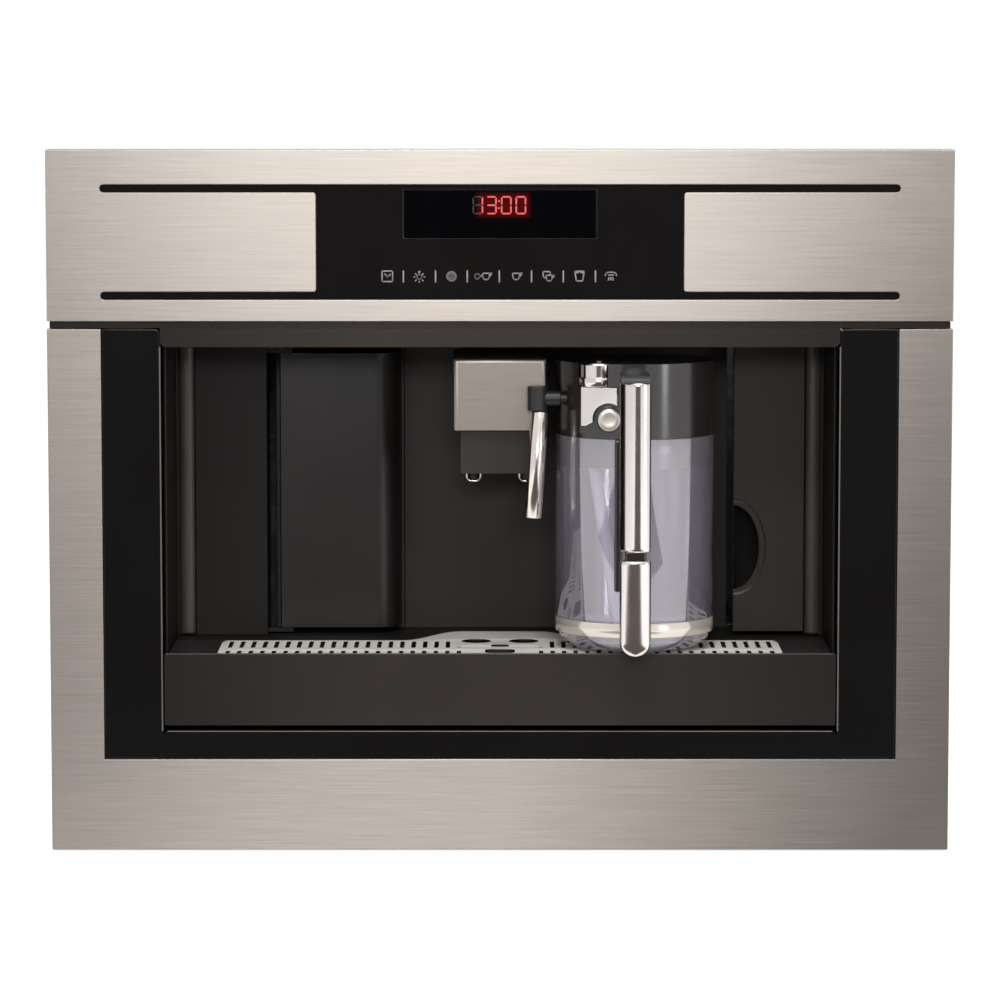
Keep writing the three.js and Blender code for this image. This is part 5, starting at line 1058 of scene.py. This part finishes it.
# Milk spout: black cap and arm that turn in the lid, with a bright steel tube hanging from it. The
# nozzle that the jug plugs on is the same polished steel.
rounded("milk_arm", black_abs, 0.6 * MM, 3)
tube_low, tube_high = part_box("milk_tube")
tube_radius, tube_wall, tube_length = 6 * MM, 1.2 * MM, 70.8 * MM
tube_lean, tube_aside, tube_dip = math.radians(3.72), 63.4 * MM, 0.39 * MM  # dip of its leaning end
tube_top = Vector((jug_at.translation.x - tube_aside, (tube_low.y + tube_high.y) / 2,
                   tube_high.z - tube_dip))
profile = [(tube_radius - tube_wall, -tube_length), (tube_radius - 0.4 * MM, -tube_length),
           (tube_radius, -tube_length + 0.5 * MM), (tube_radius, -0.4 * MM), (tube_radius - 0.4 * MM, 0),
           (tube_radius - tube_wall, 0)]
tube_steel, tree, shader = finish("polished_stainless_tube", Metallic=1.0, Roughness=0.16)
noise = mottle(tree, shader, "#c9c1ba", "#ddd6d0", 10 * MM, stretch=(1, 1, 0.2))
rough_between(tree, shader, noise.outputs["Fac"], 0.12, 0.2)
fit("milk_tube_formed", mesh_from(lathe(bmesh.new(), profile, segments=64), "milk_tube_formed"),
    tube_steel, "milk_spout", ("milk_tube",), sharp=50,
    place=Matrix.Translation(tube_top) @ Matrix.Rotation(tube_lean, 4, "Y"))
rounded("steam_nozzle", tube_steel, 0.4 * MM)

# ------------------------------------------------------------------ water tank
# Tall slim tank of smoke grey copolyester that pulls out forward, behind a graphite front with a
# half oval finger recess: a pocket lined in near black as painted shade, whose smooth raised rim
# catches the light and is paler as a painted highlight.
rounded("tank_front", dark_abs, 0.9 * MM, 3)
tank_clear, tree, shader = finish("smoke_clear_copolyester", Roughness=0.06, IOR=1.56,
                                  Transmission_Weight=0.8)
noise = mottle(tree, shader, "#7f8890", "#98a1a8", 60 * MM)
rough_between(tree, shader, noise.outputs["Fac"], 0.04, 0.1)
rounded("water_tank", tank_clear, 0.6 * MM)

tank_low, tank_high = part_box("tank_front")
recess_z, recess_steps = tank_low.z + 57.9 * MM, 24
pocket_x, pocket_reach, pocket_half, pocket_depth = tank_low.x + 2 * MM, 21.6 * MM, 32.6 * MM, 19 * MM
pocket_front, pocket_wall = 0.6 * MM, 0.6 * MM


def half_oval(bm, x, reach, half, y, bow=0.0):
    """Points up a half oval in the tank's front; a bow brings its middle nearer to the viewer."""
    turns = [math.pi * (i / recess_steps - 0.5) for i in range(recess_steps + 1)]
    return [bm.verts.new((x + reach * math.cos(a), y - bow * max(0.0, math.cos(a)) ** 0.5,
                          recess_z + half * math.sin(a))) for a in turns]


bm = bmesh.new()
skin(bm, [half_oval(bm, pocket_x, pocket_reach, pocket_half, tank_high.y + depth)
          for depth in (pocket_front, pocket_depth)], first=False)
# painted shade: the pocket is a real recess, and its lining is near black, much darker than the graphite
# front, for the shade deep in it
pit_painted_shade, tree, shader = finish("matt_black_painted_shade_abs", Roughness=0.7, IOR=1.25)
mottle(tree, shader, "#070606", "#0c0b0b", 20 * MM)
pocket = fit("finger_recess_painted_shade_lining", mesh_from(bm, "finger_recess_painted_shade_lining"), pit_painted_shade, "tank",
             sharp=50)
wall = pocket.modifiers.new("sheet", "SOLIDIFY")
wall.thickness, wall.offset = pocket_wall, 0

rim_x, rim_in, rim_out = tank_low.x + 0.6 * MM, (21.2 * MM, 31.2 * MM), (24.6 * MM, 35 * MM)
rim_bow, rim_sunk, rim_gap, rim_steps = 1.2 * MM, 2.6 * MM, 0.1 * MM, 6  # the crescent's round face
lines = []
bm = bmesh.new()
for j in range(rim_steps + 1):
    share = j / rim_steps
    reach, half = (inner + share * (outer - inner) for inner, outer in zip(rim_in, rim_out))
    lines.append(half_oval(bm, rim_x, reach, half, tank_low.y + rim_bow + rim_gap,
                           bow=rim_bow * math.sin(math.pi * share)))
for reach, half in (rim_out, rim_in):
    lines.append(half_oval(bm, rim_x, reach, half, tank_low.y + rim_sunk))
skin(bm, list(zip(*lines)))
# the rim's paler colour is a painted highlight; its round face catches the light too
fit("finger_recess_rim", mesh_from(bm, "finger_recess_rim"), pale_painted_highlight_abs, "tank", sharp=50)

# ------------------------------------------------------------------ brewing parts
# Housing, grounds container, brew chamber, tank bay and bean hopper are black polypropylene; the
# brew unit and the grinder's housing are grey glass filled nylon, dull and slightly streaked.
for node in ("brew_housing", "grounds_container", "brew_chamber", "tank_bay", "bean_hopper"):
    rounded(node, black_abs, 0.5 * MM)
nylon, tree, shader = finish("grey_glass_filled_nylon", Roughness=0.55, IOR=1.53)
noise = mottle(tree, shader, "#67635f", "#7c7873", 6 * MM, detail=5.0)
raise_by(tree, shader, noise.outputs["Fac"], 0.03 * MM)
for node in ("brew_unit", "grinder"):
    rounded(node, nylon, 0.6 * MM)

# Hopper lid: smoked clear plastic flap; the dial beside it sets the grinder.
smoked, tree, shader = finish("smoked_acrylic", Roughness=0.06, IOR=1.49, Transmission_Weight=0.6)
noise = mottle(tree, shader, "#1d1a19", "#2a2625", 60 * MM)
rough_between(tree, shader, noise.outputs["Fac"], 0.04, 0.1)
rounded("hopper_lid", smoked, 0.8 * MM, 3)
rounded("grind_knob", black_abs, 0.6 * MM, 3)

# Boiler: cast aluminium, bead blasted, with a fine cloudy grain about 1 mm across. The vibration
# pump beside it is moulded in white nylon.
cast, tree, shader = finish("cast_aluminium", Metallic=1.0, Roughness=0.5)
mottle(tree, shader, "#8d8f91", "#b3b5b6", 4 * MM, detail=5.0)
fine = fine_grain(tree, shader, 1 * MM, 0.05 * MM)
rough_between(tree, shader, fine.outputs["Fac"], 0.42, 0.6)
rounded("boiler", cast, 0.8 * MM)
white_pa, tree, shader = finish("white_moulded_nylon", Roughness=0.42, IOR=1.53)
mottle(tree, shader, "#cfcdc6", "#dedcd6", 14 * MM)
rounded("pump", white_pa, 0.8 * MM)

# Circuit boards: green solder mask over copper tracks 1.2 mm wide, seen as paler lines 10 mm apart.
track_pitch, track_width = 10 * MM, 1.2 * MM
solder_mask, tree, shader = finish("green_solder_mask", Roughness=0.32, IOR=1.55)
tracks = add(tree, "TexBrick", {
    "Vector": place_in(tree), "Scale": 1 / track_pitch, "Color1": lin("#1c4a31"),
    "Color2": lin("#205239"), "Mortar": lin("#3d7a52"), "Mortar Size": track_width / track_pitch / 2,
    "Mortar Smooth": 0.3})
tree.links.new(tracks.outputs["Color"], shader.inputs["Base Color"])
for node in ("control_board", "main_board"):
    rounded(node, solder_mask, 0.3 * MM)

# ------------------------------------------------------------------ inlet and switch
# Appliance inlet: black moulded body with a flange and an open socket, set in the rear cover. The
# main switch beside it is a red moulded rocker.
rounded("power_inlet", black_abs, 0.6 * MM)
red_plastic, tree, shader = finish("red_moulded_abs", Roughness=0.4, IOR=1.46)
mottle(tree, shader, "#7c1b18", "#90231e", 12 * MM)
rounded("main_switch", red_plastic, 1.0 * MM, 3)
